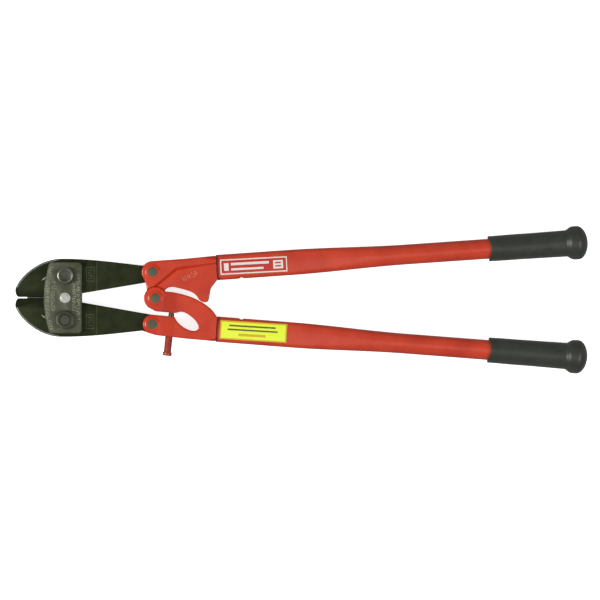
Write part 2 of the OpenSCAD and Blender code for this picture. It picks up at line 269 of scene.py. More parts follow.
def loft(name: str, rings: Sequence[Sequence[Corner]]) -> Solid:
    """Joins rings of equal point counts into a skin and caps both ends.

    Args:
        name: The object's name.
        rings: Rings of points, in order along the skin.

    Returns:
        A closed solid.
    """
    work = bmesh.new()
    made = [[work.verts.new(point) for point in ring] for ring in rings]
    count = len(made[0])
    work.faces.new(list(reversed(made[0])))
    work.faces.new(made[-1])
    for lower, upper in zip(made, made[1:]):
        for i in range(count):
            j = (i + 1) % count
            work.faces.new((lower[i], lower[j], upper[j], upper[i]))
    return from_bmesh(name, work)


def prism(name: str, outline: Sequence[Point], low: float, high: float) -> Solid:
    """Extrudes an outline between two heights.

    Args:
        name: The object's name.
        outline: The corners, in order.
        low: The height of the lower face.
        high: The height of the upper face.

    Returns:
        A closed solid.
    """
    points = without_doubles(outline)
    return loft(name, [[(x, y, z) for x, y in points] for z in (low, high)])


def rimmed_prism(name: str, outline: Sequence[Point], half: float,
                 inset: Callable[[float, float], float]) -> Solid:
    """Extrudes an outline about the middle plane, with a chamfer on both rims that varies along them.

    Args:
        name: The object's name.
        outline: The corners, in order.
        half: Half of the thickness.
        inset: Gives the chamfer's width from a corner's x and y.

    Returns:
        A closed solid.
    """
    points = without_doubles(outline)
    widths = [inset(x, y) for x, y in points]
    edge_share, edge_drop, side_drop = 0.62, 0.17, 0.75
    top, line = inwards(points, widths), inwards(points, [edge_share * w for w in widths])
    levels = []
    for sign in (-1, 1):
        rims = [
            [(x, y, sign * half) for x, y in top],
            [(x, y, sign * (half - edge_drop * w)) for (x, y), w in zip(line, widths)],
            [(x, y, sign * (half - side_drop * w)) for (x, y), w in zip(points, widths)],
        ]
        levels += rims if sign < 0 else list(reversed(rims))
    return loft(name, levels)


def hexagon(across_flats: float) -> list[Point]:
    """Returns the outline of a hexagon with corners up and down."""
    corner = across_flats / math.sqrt(3)
    angles = [math.radians(30 + 60 * k) for k in range(6)]
    return [(corner * math.cos(a), corner * math.sin(a)) for a in angles]


def settle(thing: Solid) -> Solid:
    """Applies the modifiers of an object to its mesh and returns the object."""
    bpy.context.view_layer.update()
    graph = bpy.context.evaluated_depsgraph_get()
    finished = bpy.data.meshes.new_from_object(thing.evaluated_get(graph))
    thing.modifiers.clear()
    before = thing.data
    thing.data = finished
    bpy.data.meshes.remove(before)
    return thing


def shape(blank: Solid, tools: Sequence[Solid], cut: Cut) -> Solid:
    """Cuts a blank with tools, or joins them to it, and throws the tools away.

    Args:
        blank: The solid to change.
        tools: The solids to use, one after the other.
        cut: What to do with each tool.

    Returns:
        The blank.
    """
    for tool in tools:
        step = blank.modifiers.new("cut", "BOOLEAN")
        step.operation = cut.value
        step.solver = "MANIFOLD"
        step.object = tool
    settle(blank)
    for tool in tools:
        mesh = tool.data
        bpy.data.objects.remove(tool)
        bpy.data.meshes.remove(mesh)
    return blank


def soften(thing: Solid, voxel: float, rounds: int) -> Solid:
    """Rounds every edge of a solid, as a forging die does.

    Args:
        thing: The solid to round.
        voxel: The size of the new mesh's faces, in millimetres.
        rounds: The number of smoothing passes.

    Returns:
        The same object.
    """
    grid = thing.modifiers.new("grid", "REMESH")
    grid.mode = "VOXEL"
    grid.voxel_size = voxel
    ease = thing.modifiers.new("ease", "SMOOTH")
    ease.factor = 0.5
    ease.iterations = rounds
    return settle(thing)


def bevelled(thing: Solid, width: float, angle: float, slot: int = -1) -> Solid:
    """Breaks the edges sharper than an angle.

    Args:
        thing: The solid.
        width: The width of the broken edge, in millimetres.
        angle: The least angle of an edge that is broken, in degrees.
        slot: The material slot of the new faces, or -1 to keep their neighbours'.

    Returns:
        The same object.
    """
    step = thing.modifiers.new("edge", "BEVEL")
    step.width, step.segments, step.limit_method = width, 2, "ANGLE"
    step.angle_limit = math.radians(angle)
    step.material = slot
    return settle(thing)


def turned(thing: Solid, matrix: Matrix) -> Solid:
    """Moves an object's mesh by a matrix, turns a mirrored mesh the right way out, and returns the object."""
    thing.data.transform(matrix)
    if matrix.determinant() < 0:
        thing.data.flip_normals()
    return thing


def joined(name: str, things: Sequence[Solid]) -> Solid:
    """Puts several meshes into one object, keeping their materials.

    Args:
        name: The new object's name.
        things: The objects to join, which are used up.

    Returns:
        The new object.
    """
    work = bmesh.new()
    materials: list[bpy.types.Material] = []
    for thing in things:
        mesh = thing.data
        offset = {}
        for index, material in enumerate(mesh.materials):
            if material not in materials:
                materials.append(material)
            offset[index] = materials.index(material)
        first = len(work.faces)
        work.from_mesh(mesh)
        work.faces.ensure_lookup_table()
        for face in work.faces[first:]:
            face.material_index = offset.get(face.material_index, 0)
        bpy.data.objects.remove(thing)
        bpy.data.meshes.remove(mesh)
    whole = bpy.data.meshes.new(name)
    work.to_mesh(whole)
    work.free()
    for material in materials:
        whole.materials.append(material)
    return new_object(name, whole)


def mark_convexity(thing: Solid) -> None:
    """Stores how far each point of a dense mesh stands out from its neighbours, as the attribute "edge"."""
    blur = 2
    mesh = thing.data
    work = bmesh.new()
    work.from_mesh(mesh)
    work.normal_update()
    values = []
    links = []
    for vert in work.verts:
        near = [edge.other_vert(vert) for edge in vert.link_edges]
        links.append([other.index for other in near])
        total = 0.0
        for other in near:
            step = vert.co - other.co
            total += vert.normal.dot(step) / max(step.length, 1e-9)
        values.append(total / max(len(near), 1))
    work.free()
    for _ in range(blur):
        sums = [values[i] + sum(values[j] for j in near) for i, near in enumerate(links)]
        values = [total / (1 + len(near)) for total, near in zip(sums, links)]
    attribute = mesh.attributes.new("edge", "FLOAT", "POINT")
    attribute.data.foreach_set("value", values)


def smooth_shade(thing: Solid, angle: float) -> Solid:
    """Shades an object smooth, apart from the edges sharper than an angle in degrees, and returns it."""
    mesh = thing.data
    mesh.shade_smooth()
    mesh.set_sharp_from_angle(angle=math.radians(angle))
    return thing


# ---------------------------------------------------------------- finishes


def paint(red: int, green: int, blue: int) -> Colour:
    """Returns a colour given as 0 to 255 display values in the linear values that shaders take."""
    channels = (value / 255.0 for value in (red, green, blue))
    return tuple(c / 12.92 if c <= 0.04045 else ((c + 0.055) / 1.055) ** 2.4 for c in channels)


class Graph:
    """The nodes of one material, ending in a Principled shader."""

    def __init__(self, name: str) -> None:
        """Makes an empty material.

        Args:
            name: The material's name.
        """
        self.material = bpy.data.materials.new(name)
        self.material.use_nodes = True
        self.tree = self.material.node_tree
        self.tree.nodes.clear()
        output = self.tree.nodes.new("ShaderNodeOutputMaterial")
        self.shader = self.tree.nodes.new("ShaderNodeBsdfPrincipled")
        self.tree.links.new(self.shader.outputs["BSDF"], output.inputs["Surface"])
        self.place = self.tree.nodes.new("ShaderNodeTexCoord").outputs["Object"]

    def fix(self, **values: float) -> None:
        """Sets plain numbers on the shader's own sockets; an underscore stands for a space."""
        for name, value in values.items():
            self.shader.inputs[name.replace("_", " ")].default_value = value

    def feed(self, socket: str, source: Socket) -> None:
        """Links a source to one of the shader's sockets."""
        self.tree.links.new(source, self.shader.inputs[socket])

    def stretched(self, along: float, across: float, angle: float) -> Socket:
        """Returns coordinates stretched along one direction, for brushed or drawn metal.

        Args:
            along: The factor along the direction, below 1 for long streaks.
            across: The factor across it.
            angle: The direction's angle from +X, in radians.
        """
        turn = self.tree.nodes.new("ShaderNodeMapping")
        turn.vector_type = "POINT"
        turn.inputs["Rotation"].default_value = (0.0, 0.0, -angle)
        self.tree.links.new(self.place, turn.inputs["Vector"])
        scale = self.tree.nodes.new("ShaderNodeMapping")
        scale.inputs["Scale"].default_value = (along, across, across)
        self.tree.links.new(turn.outputs["Vector"], scale.inputs["Vector"])
        return scale.outputs["Vector"]

    def noise(self, size: float, detail: float = 4.0, rough: float = 0.55,
              place: Optional[Socket] = None) -> Socket:
        """Returns cloudy noise from 0 to 1.

        Args:
            size: The size of its blobs, in millimetres.
            detail: The number of finer layers.
            rough: The strength of the finer layers.
            place: Other coordinates than the object's own.
        """
        node = self.tree.nodes.new("ShaderNodeTexNoise")
        node.inputs["Scale"].default_value = 1.0 / (size * MM)
        node.inputs["Detail"].default_value = detail
        node.inputs["Roughness"].default_value = rough
        self.tree.links.new(place or self.place, node.inputs["Vector"])
        return node.outputs["Fac"]

    def cells(self, size: float) -> Socket:
        """Returns the distance to the nearest of points scattered a size in millimetres apart."""
        node = self.tree.nodes.new("ShaderNodeTexVoronoi")
        node.inputs["Scale"].default_value = 1.0 / (size * MM)
        self.tree.links.new(self.place, node.inputs["Vector"])
        return node.outputs["Distance"]

    def attribute(self, name: str) -> Socket:
        """Returns a value stored on the mesh."""
        node = self.tree.nodes.new("ShaderNodeAttribute")
        node.attribute_name = name
        return node.outputs["Fac"]

    def remap(self, source: Socket, low: float, high: float, to_low: float = 0.0,
              to_high: float = 1.0) -> Socket:
        """Returns a source's range from low to high carried to another range, and held within it."""
        node = self.tree.nodes.new("ShaderNodeMapRange")
        for name, value in zip(("From Min", "From Max", "To Min", "To Max"), (low, high, to_low, to_high)):
            node.inputs[name].default_value = value
        self.tree.links.new(source, node.inputs["Value"])
        return node.outputs["Result"]

    def maths(self, kind: str, a: Socket, b: "Socket | float") -> Socket:
        """Returns the result of a Math node on a source and a source or number."""
        node = self.tree.nodes.new("ShaderNodeMath")
        node.operation = kind
        self.tree.links.new(a, node.inputs[0])
        if isinstance(b, Socket):
            self.tree.links.new(b, node.inputs[1])
        else:
            node.inputs[1].default_value = b
        return node.outputs["Value"]

    def mixed(self, share: Socket, a: "Colour | Socket", b: "Colour | Socket") -> Socket:
        """Returns colour a where share is 0 and colour b where it is 1."""
        node = self.tree.nodes.new("ShaderNodeMix")
        node.data_type = "RGBA"
        self.tree.links.new(share, node.inputs["Factor"])
        for socket, value in ((node.inputs[6], a), (node.inputs[7], b)):
            if isinstance(value, Socket):
                self.tree.links.new(value, socket)
            else:
                socket.default_value = (*value, 1.0)
        return node.outputs[2]

    def bump(self, height: Socket, depth: float, strength: float = 1.0) -> None:
        """Roughens the surface by a height map, on top of any bump already there.

        Args:
            height: The heights, from 0 to 1.
            depth: The depth of the map, in millimetres.
            strength: How much of it shows.
        """
        node = self.tree.nodes.new("ShaderNodeBump")
        node.inputs["Distance"].default_value = depth * MM
        node.inputs["Strength"].default_value = strength
        self.tree.links.new(height, node.inputs["Height"])
        normal = self.shader.inputs["Normal"]
        if normal.is_linked:
            self.tree.links.new(normal.links[0].from_socket, node.inputs["Normal"])
        self.tree.links.new(node.outputs["Normal"], normal)


@dataclass(frozen=True)
class Finish:
    """A surface finish, and the record's material slot that it stands for."""

    name: str
    slot: str

    def dress(self, graph: Graph) -> None:
        """Fills in the material's nodes."""
        raise NotImplementedError

    def material(self) -> bpy.types.Material:
        """Returns the finish's material, made the first time that it is asked for."""
        found = bpy.data.materials.get(self.name)
        if found:
            return found
        graph = Graph(self.name)
        self.dress(graph)
        return graph.material


@dataclass(frozen=True)
class Enamel(Finish):
    """Glossy enamel over steel, darker along convex edges and at the tube's mouth."""

    base: Colour
    deep: Colour
    edge_tone: Colour
    pits: float = 0.0
    edge_tone_from: float = 0.10
    edge_tone_to: float = 0.34
    streak_angle: Optional[float] = None

    def dress(self, graph: Graph) -> None:
        """Builds uneven colour, darker convex edges, orange peel and, on forgings, shallow pits."""
        cloud = graph.remap(graph.noise(26.0, 3.0), 0.35, 0.68)
        speck = graph.remap(graph.noise(1.1, 5.0, 0.7), 0.60, 0.78, 0.0, 0.55)
        colour = graph.mixed(cloud, self.base, self.deep)
        colour = graph.mixed(speck, colour, self.deep)
        # Convex edges, from the "edge" attribute, take the darker edge tone.
        edge = graph.attribute("edge")
        fray = graph.remap(graph.noise(3.2, 5.0, 0.65), 0.2, 0.8, -0.09, 0.09)
        ragged = graph.maths("ADD", edge, fray)
        worn = graph.remap(ragged, self.edge_tone_from, self.edge_tone_to)
        colour = graph.mixed(worn, colour, self.edge_tone)
        graph.feed("Base Color", colour)
        gloss = graph.remap(graph.noise(9.0, 4.0), 0.3, 0.7, 0.24, 0.40)
        graph.feed("Roughness", graph.maths("ADD", gloss, graph.maths("MULTIPLY", worn, 0.2)))
        graph.bump(graph.noise(1.6, 2.0), 0.035)
        if self.pits:
            graph.bump(graph.noise(7.5, 4.0, 0.6), self.pits)
            graph.bump(graph.remap(graph.cells(2.6), 0.05, 0.4), 0.25 * self.pits)
        if self.streak_angle is not None:
            place = graph.stretched(0.04, 1.0, self.streak_angle)
            graph.bump(graph.noise(1.3, 3.0, 0.5, place), 0.02)
        graph.fix(Coat_Weight=0.2, Coat_Roughness=0.1, Specular_IOR_Level=0.3)


@dataclass(frozen=True)
class Steel(Finish):
    """Steel with a dull or bright skin, with grain and lighter worn places."""

    base: Colour
    light: Colour
    metallic: float = 0.6
    rough_low: float = 0.34
    rough_high: float = 0.52
    grain: float = 0.03
    grain_angle: Optional[float] = None
    sheen: float = 0.5

    def dress(self, graph: Graph) -> None:
        """Builds mottled colour, uneven gloss and fine grain."""
        cloud = graph.remap(graph.noise(11.0, 5.0, 0.6), 0.34, 0.70)
        fleck = graph.remap(graph.noise(0.9, 4.0, 0.7), 0.55, 0.75, 0.0, 0.45)
        colour = graph.mixed(cloud, self.base, self.light)
        colour = graph.mixed(fleck, colour, self.light)
        graph.feed("Base Color", colour)
        gloss = graph.noise(5.0, 5.0, 0.6)
        graph.feed("Roughness", graph.remap(gloss, 0.3, 0.7, self.rough_low, self.rough_high))
        if self.grain_angle is None:
            graph.bump(graph.noise(0.9, 4.0, 0.6), self.grain)
        else:
            place = graph.stretched(0.05, 1.0, self.grain_angle)
            graph.bump(graph.noise(0.35, 3.0, 0.6, place), self.grain)
        graph.bump(graph.noise(6.0, 3.0), 2.0 * self.grain)
        graph.fix(Metallic=self.metallic, Specular_IOR_Level=self.sheen)


@dataclass(frozen=True)
class Vinyl(Finish):
    """Black vinyl, dipped on in a thick coat: soft gloss, fine skin and slow ripples."""

    base: Colour
    dusty: Colour

    def dress(self, graph: Graph) -> None:
        """Builds a dusty, finely pebbled skin."""
        dust = graph.remap(graph.noise(14.0, 5.0, 0.65), 0.36, 0.72)
        scuff = graph.remap(graph.noise(2.2, 6.0, 0.7), 0.58, 0.80, 0.0, 0.5)
        colour = graph.mixed(dust, self.base, self.dusty)
        graph.feed("Base Color", graph.mixed(scuff, colour, self.dusty))
        graph.feed("Roughness", graph.remap(graph.noise(8.0, 4.0), 0.3, 0.7, 0.36, 0.50))
        graph.bump(graph.noise(0.8, 3.0, 0.6), 0.035)
        graph.bump(graph.noise(9.0, 2.0), 0.16)
        graph.fix(IOR=1.5, Sheen_Weight=0.08)


@dataclass(frozen=True)
class Film(Finish):
    """Printed sticker film, a little scuffed."""

    base: Colour
    scuffed: Colour

    def dress(self, graph: Graph) -> None:
        """Builds one flat ink with light scuffs and a wavy gloss."""
        scuff = graph.remap(graph.noise(1.8, 6.0, 0.7), 0.62, 0.80, 0.0, 0.6)
        graph.feed("Base Color", graph.mixed(scuff, self.base, self.scuffed))
        graph.feed("Roughness", graph.remap(graph.noise(6.0, 4.0), 0.3, 0.7, 0.26, 0.42))
        graph.bump(graph.noise(5.0, 2.0), 0.03)
        graph.fix(IOR=1.48)


FORGED_RED = Enamel("forged_red_enamel", "forged_red", paint(203, 55, 20), paint(185, 46, 17),
                    paint(120, 44, 28), pits=0.10)
# Light pink raised forging marks: rubbed enamel with a painted highlight.
FORGED_RUBBED_HIGHLIGHT = Enamel("forged_rubbed_highlight_marks", "forged_red", paint(226, 134, 108), paint(208, 100, 74),
                       paint(226, 134, 108))
TUBE_RED = {
    side: Enamel(f"{side.word}_tube_enamel", "tube_red", paint(208, 69, 43), paint(192, 58, 36),
                 paint(128, 50, 36), streak_angle=side.value * HALF_ANGLE)
    for side in Side
}
SCREW_RED = Enamel("screw_enamel", "forged_red", paint(176, 66, 46), paint(138, 52, 38),
                   paint(105, 82, 62), pits=0.05, edge_tone_from=0.02, edge_tone_to=0.16)
BLADE_BLACK = Steel("blade_black_oxide", "black_blade", paint(32, 38, 15), paint(46, 52, 30),
                    0.5, 0.36, 0.52, sheen=0.22)
BLADE_WORN = Steel("blade_worn_oxide", "black_blade", paint(64, 68, 47), paint(86, 90, 68),
                   0.4, 0.36, 0.50, sheen=0.3)
# Bare ground steel on the jaw's crown chamfer and the notch bottoms; its light colour is also a painted
# highlight.
BLADE_GROUND_HIGHLIGHT = Steel("blade_ground_edge_highlight", "black_blade", paint(152, 154, 138), paint(190, 191, 178),
                     0.45, 0.24, 0.38)
BLADE_BEVEL = Steel("blade_ground_bevel", "black_blade", paint(34, 40, 19), paint(44, 50, 30),
                    0.5, 0.38, 0.50, grain_angle=math.radians(90), sheen=0.22)
PLATE_GREY = Steel("plate_phosphate", "dark_plate", paint(70, 72, 54), paint(88, 90, 71),
                   0.45, 0.42, 0.58, grain=0.045)
# Lighter steel on the raised ticks and the plate's chamfers: worn metal with a painted highlight.
PLATE_WORN_HIGHLIGHT = Steel("plate_raised_worn_highlight", "dark_plate", paint(140, 143, 118), paint(176, 178, 156),
                     0.35, 0.32, 0.46)
BOLT_GREY = Steel("bolt_phosphate", "bolt_steel", paint(56, 58, 46), paint(76, 77, 65), 0.55, 0.32, 0.48)
# Lighter steel on the chamfers of bolt heads and nuts: a painted highlight.
BOLT_EDGE_HIGHLIGHT = Steel("bolt_edge_highlight", "bolt_steel", paint(104, 106, 94), paint(142, 143, 131), 0.75, 0.22, 0.36)
PIN_DARK = Steel("pin_dark_steel", "bolt_steel", paint(80, 84, 66), paint(100, 103, 86), 0.55, 0.32, 0.46)
BADGE_BRIGHT = Steel("badge_bright", "bright_badge", paint(166, 167, 161), paint(198, 199, 193),
                     0.45, 0.30, 0.42)
GRIP_BLACK = Vinyl("grip_black_vinyl", "grip_vinyl", paint(42, 45, 38), paint(56, 59, 51))
LABEL_PAPER = Film("label_white_film", "label_white", paint(232, 222, 214), paint(214, 190, 178))
LABEL_RED = Film("label_red_ink", "label_white", paint(186, 46, 34), paint(205, 110, 96))
LABEL_YELLOW = Film("label_yellow_film", "label_yellow", paint(233, 249, 56), paint(214, 224, 76))
LABEL_ORANGE = Film("label_orange_ink", "label_yellow", paint(210, 176, 52), paint(200, 170, 80))
LABEL_RUST = Film("label_rust_ink", "label_yellow", paint(214, 174, 38), paint(218, 190, 76))
LABEL_DARK = Film("label_dark_ink", "label_yellow", paint(96, 88, 30), paint(150, 146, 60))


# ---------------------------------------------------------------- pieces


def dressed(thing: Solid, *finishes: Finish) -> Solid:
    """Gives an object's mesh its material slots, in order, and returns the object."""
    thing.data.materials.clear()
    for finish in finishes:
        thing.data.materials.append(finish.material())
    return thing


def install(piece: Solid, place: Matrix, crease: float, body: str, nodes: Sequence[str],
            finish: Finish) -> Solid:
    """Carries a finished piece into the row frame, shades it and hands it to the frame.

    Args:
        piece: The piece, with its mesh in its own frame.
        place: The matrix from its own frame to the row frame.
        crease: The least angle of an edge that stays sharp, in degrees.
        body: The body that it moves with.
        nodes: The CAD nodes that it stands for.
        finish: Not used.

    Returns:
        The piece.
    """
    turned(piece, place)
    smooth_shade(piece, crease)
    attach(piece, body)
    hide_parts(*nodes)
    log.info("%s: %d faces on %s", piece.name, len(piece.data.polygons), body)
    return piece


def up_y(thing: Solid) -> Solid:
    """Turns a prism drawn as (x, z) so that it is extruded along Y, and returns it."""
    return turned(thing, Matrix.Rotation(math.radians(90), 4, "X"))


def along_x(thing: Solid) -> Solid:
    """Turns a prism drawn as (y, z) so that it is extruded along X, and returns it."""
    return turned(thing, Matrix(((0, 0, 1, 0), (1, 0, 0, 0), (0, 1, 0, 0), (0, 0, 0, 1))))


def on_both_faces(section: Sequence[Point], reach: Point, lay: Callable[[Solid], Solid]) -> list[Solid]:
    """Returns a tool and its mirror image below the middle plane.

    Args:
        section: The upper tool's section.
        reach: Where the tools start and end across the section.
        lay: Turns a prism from the section's plane into place.
    """
    return [lay(prism("tool", [(a, up * z) for a, z in section], *reach)) for up in (1, -1)]


def bore(x: float, y: float, radius: float, low: float = -30.0, high: float = 30.0) -> Solid:
    """Returns a round tool along Z.

    Args:
        x: Its place.
        y: Its place.
        radius: Its radius.
        low: The height of its lower end.
        high: The height of its upper end.
    """
    tool = lathe("tool", [(0, low), (radius, low), (radius, high), (0, high)], 72)
    return turned(tool, Matrix.Translation((x, y, 0)))


def block(x0: float, y0: float, z0: float, x1: float, y1: float, z1: float) -> Solid:
    """Returns a rectangular tool between two corners."""
    return prism("tool", [(x0, y0), (x1, y0), (x1, y1), (x0, y1)], z0, z1)


def raised_bar(x: float, y: float, length: float, width: float, angle: float, low: float,
               high: float) -> Solid:
    """Returns a small bar with sloping sides that stands on a face.

    Args:
        x: The place of its middle.
        y: The place of its middle.
        length: Its length.
        width: Its width.
        angle: The direction of its length, in degrees.
        low: The height of its foot, inside the face.
        high: The height of its top.
    """
    lean = 0.12
    rings = []
    for z, inset in ((low, 0.0), (high, lean)):
        a, b = length / 2 - inset, width / 2 - inset
        rings.append([(-a, -b, z), (a, -b, z), (a, b, z), (-a, b, z)])
    spot = Matrix.Translation((x, y, 0))
    return turned(loft("bar", rings), spot @ Matrix.Rotation(math.radians(angle), 4, "Z"))


def link_point(angle: float) -> Point:
    """Returns where a link bolt lies in the head's frame when its handle stands at an angle, in radians."""
    c, s = math.cos(angle), math.sin(angle)
    return LINK_BACK * c - LINK_OUT * s, LINK_BACK * s + LINK_OUT * c


def scattered_ticks(cells: Iterable[Point], advance: float, tall: float, stroke: float, low: float,
                    high: float, seed: int) -> list[Solid]:
    """Returns small raised ticks, three to a cell and in mixed directions, that spell nothing.

    Args:
        cells: The middles of the cells.
        advance: A cell's size along Y.
        tall: A cell's size along X.
        stroke: The width of a tick.
        low: The height of the ticks' feet.
        high: The height of their tops.
        seed: Picks the mix.
    """
    pick = random.Random(seed)
    ticks = []
    for x, y in cells:
        for share in (-0.33, 0.0, 0.33):
            if pick.random() < 0.14:
                continue
            angle = pick.choice((0, 90, 90, 0, 35, -35))
            reach = pick.uniform(1.5, 2.6) * stroke
            dx = share * tall + pick.uniform(-0.1, 0.1) * tall
            dy = pick.uniform(-0.22, 0.22) * advance
            top = high + pick.uniform(-0.05, 0.0)
            ticks.append(raised_bar(x + dx, y + dy, reach, stroke, angle, low, top))
    return ticks


@dataclass
class Blade:
    """One jaw and its tail, forged in one piece, with ground cutting bevels."""

    side: Side
    reach: float = 149.2
    half_width: float = 41.6
    jaw_thickness: float = 11.9
    tail_thickness: float = 9.6
    tail_from: float = -63.2
    tail_run: float = 1.3
    bevel_width: float = 11.0
    link_hole: float = 4.06

    def crown(self, steps: int) -> list[Point]:
        """Returns the edge from the nose over the crown of the jaw, in so many chords."""
        wide = self.half_width
        return curve((-self.reach, 8), (-self.reach, 16), (-128, wide), (-100, wide), steps)

    def outline(self) -> list[Point]:
        """Returns the outline: nose, crown, back, round tail, relieved inner edge and cutting edge."""
        link = link_point(HALF_ANGLE)
        relief = -106.0
        slit_end = -136.8
        slit = 0.7
        meet = 0.03
        foot = -90.0 + TAIL_SLOPE
        return [
            *curve((-146, slit), (-148.2, 1.8), (-self.reach, 4), (-self.reach, 8), 8),
            *self.crown(40),
            *curve((-100, self.half_width), (-70, self.half_width), (-45, 38.3), (-14, 34.7), 20),
            *arc(link, TAIL_ROUND, 110, foot, 24),
            (relief, meet),
            (slit_end, meet),
            (slit_end, slit),
        ]

    def tail_reliefs(self) -> list[Solid]:
        """Returns the tools that thin the tail on both faces, with a sloping shoulder."""
        full, thin, end = self.jaw_thickness, self.tail_thickness / 2, 20
        section = [(self.tail_from, full), (self.tail_from, full / 2),
                   (self.tail_from + self.tail_run, thin), (end, thin), (end, full)]
        return on_both_faces(section, (-60, 60), up_y)

    def bevels(self) -> list[Solid]:
        """Returns the tools that grind the cutting bevels on both faces."""
        land, past, above = 0.4, -3, 9
        section = [(past, land), (0, land), (self.bevel_width, self.jaw_thickness / 2),
                   (self.bevel_width, above), (past, above)]
        return on_both_faces(section, (-152, -110), along_x)

    def notches(self) -> list[Solid]:
        """Returns the tools for the short ground notches beside the cover plate."""
        start, end = Vector((-122.0, 17.9)), Vector((-115.9, 22.5))
        along = (end - start).normalized()
        side = Vector((-along.y, along.x))
        middle = (start + end) / 2
        corners = [start, middle - side * 0.75, end, middle + side * 0.75]
        top = self.jaw_thickness / 2
        tools = []
        for low, high in ((top - 0.55, top + 1), (-top - 1, -top + 0.55)):
            tools.append(prism("notch", [(p.x, p.y) for p in corners], low, high))
        return tools

    def stamp(self) -> list[Solid]:
        """Returns the tools for a plain stamped frame with short strokes on the front face."""
        x0, x1, y0, y1 = -74.0, -65.0, 17.5, 33.0
        line = 0.75
        low, high = self.jaw_thickness / 2 - 0.28, self.jaw_thickness
        bars = [(x0, y0, x0 + line, y1), (x1 - line, y0, x1, y1), (x0, y0, x1, y0 + line),
                (x0, y1 - line, x1, y1)]
        for k in range(4):
            y = y0 + 2.8 + k * 2.9
            start = x0 + 2.0 + 0.9 * (k % 2)
            bars.append((start, y, start + 3.6 - 0.6 * (k % 3), y + 0.8))
        bars.append((x0 + 6.0, y0 + 3.2, x0 + 6.8, y0 + 8.0))
        return [block(a, b, low, c, d, high) for a, b, c, d in bars]

    def bolt_slot(self) -> list[Solid]:
        """Returns the tools for the bolt hole, which runs on towards the midline in the lower blade."""
        x, y = JAW_BOLT
        tools = [bore(x, y, BOLT_HOLE)]
        if self.side is Side.LOWER:
            run, widen = 5.35, 0.5
            tools.append(block(x - BOLT_HOLE, y - run, -20, x + BOLT_HOLE + widen, y, 20))
            tools.append(bore(x + widen / 2, y - run, BOLT_HOLE + widen / 2))
        return tools

    def rim(self, x: float, y: float) -> float:
        """Returns the width of the chamfer: wide on the crown of the jaw, narrow elsewhere."""
        if x < -100 and y < 7:
            return 0.05
        crown = min(1.0, max(0.0, (-97.0 - x) / 12.0)) if y > 7 else 0.0
        return 0.3 + 1.3 * crown * crown * (3.0 - 2.0 * crown)

    def paint_faces(self, blade: Solid) -> None:
        """Gives the ground, worn and bevelled faces their own materials; the crown chamfer and the notch
        bottoms are light partly as bare ground steel and partly as a painted highlight.
        """
        dressed(blade, BLADE_BLACK, BLADE_GROUND_HIGHLIGHT, BLADE_BEVEL, BLADE_WORN)
        plain, ground_highlight, bevel, worn = range(4)
        level, rim_width = 0.99, 1.8
        rim = self.crown(120)
        for face in blade.data.polygons:
            x, y, z = face.center
            tilt, depth = abs(face.normal.z), self.jaw_thickness / 2 - abs(z)
            slot = plain
            # Crown chamfer faces: bare ground steel, lightened further as a painted highlight.
            if 0.8 < tilt < level and depth < 0.3 and x < -103 and y > 9:
                if min(math.dist((x, y), at) for at in rim) < rim_width:
                    slot = ground_highlight
            # Notch bottoms: bare ground steel, lightened further as a painted highlight.
            elif tilt > level and 0.5 < depth < 0.6 and x < -112:
                slot = ground_highlight
            elif 0.8 < tilt < 0.97 and x < -109 and y < self.bevel_width:
                slot = bevel
            elif tilt > level and 0.2 < depth < 0.35:
                slot = worn
            elif 0.5 < tilt < 0.97 and self.tail_from < x < self.tail_from + self.tail_run:
                slot = worn
            face.material_index = slot

    def build(self) -> Solid:
        """Builds, dresses and installs the blade."""
        name = self.side.word
        half = self.jaw_thickness / 2
        blade = rimmed_prism(f"{name}_jaw_blade", self.outline(), half, self.rim)
        link = link_point(HALF_ANGLE)
        tools = [*self.tail_reliefs(), *self.bevels(), *self.notches(), *self.stamp(), *self.bolt_slot()]
        tools.append(bore(link[0], link[1], self.link_hole))
        shape(blade, tools, Cut.REMOVE)
        self.paint_faces(blade)
        return install(blade, HEAD[self.side].matrix(), 32, f"{name}_blade", [f"{name}_blade"], BLADE_BLACK)


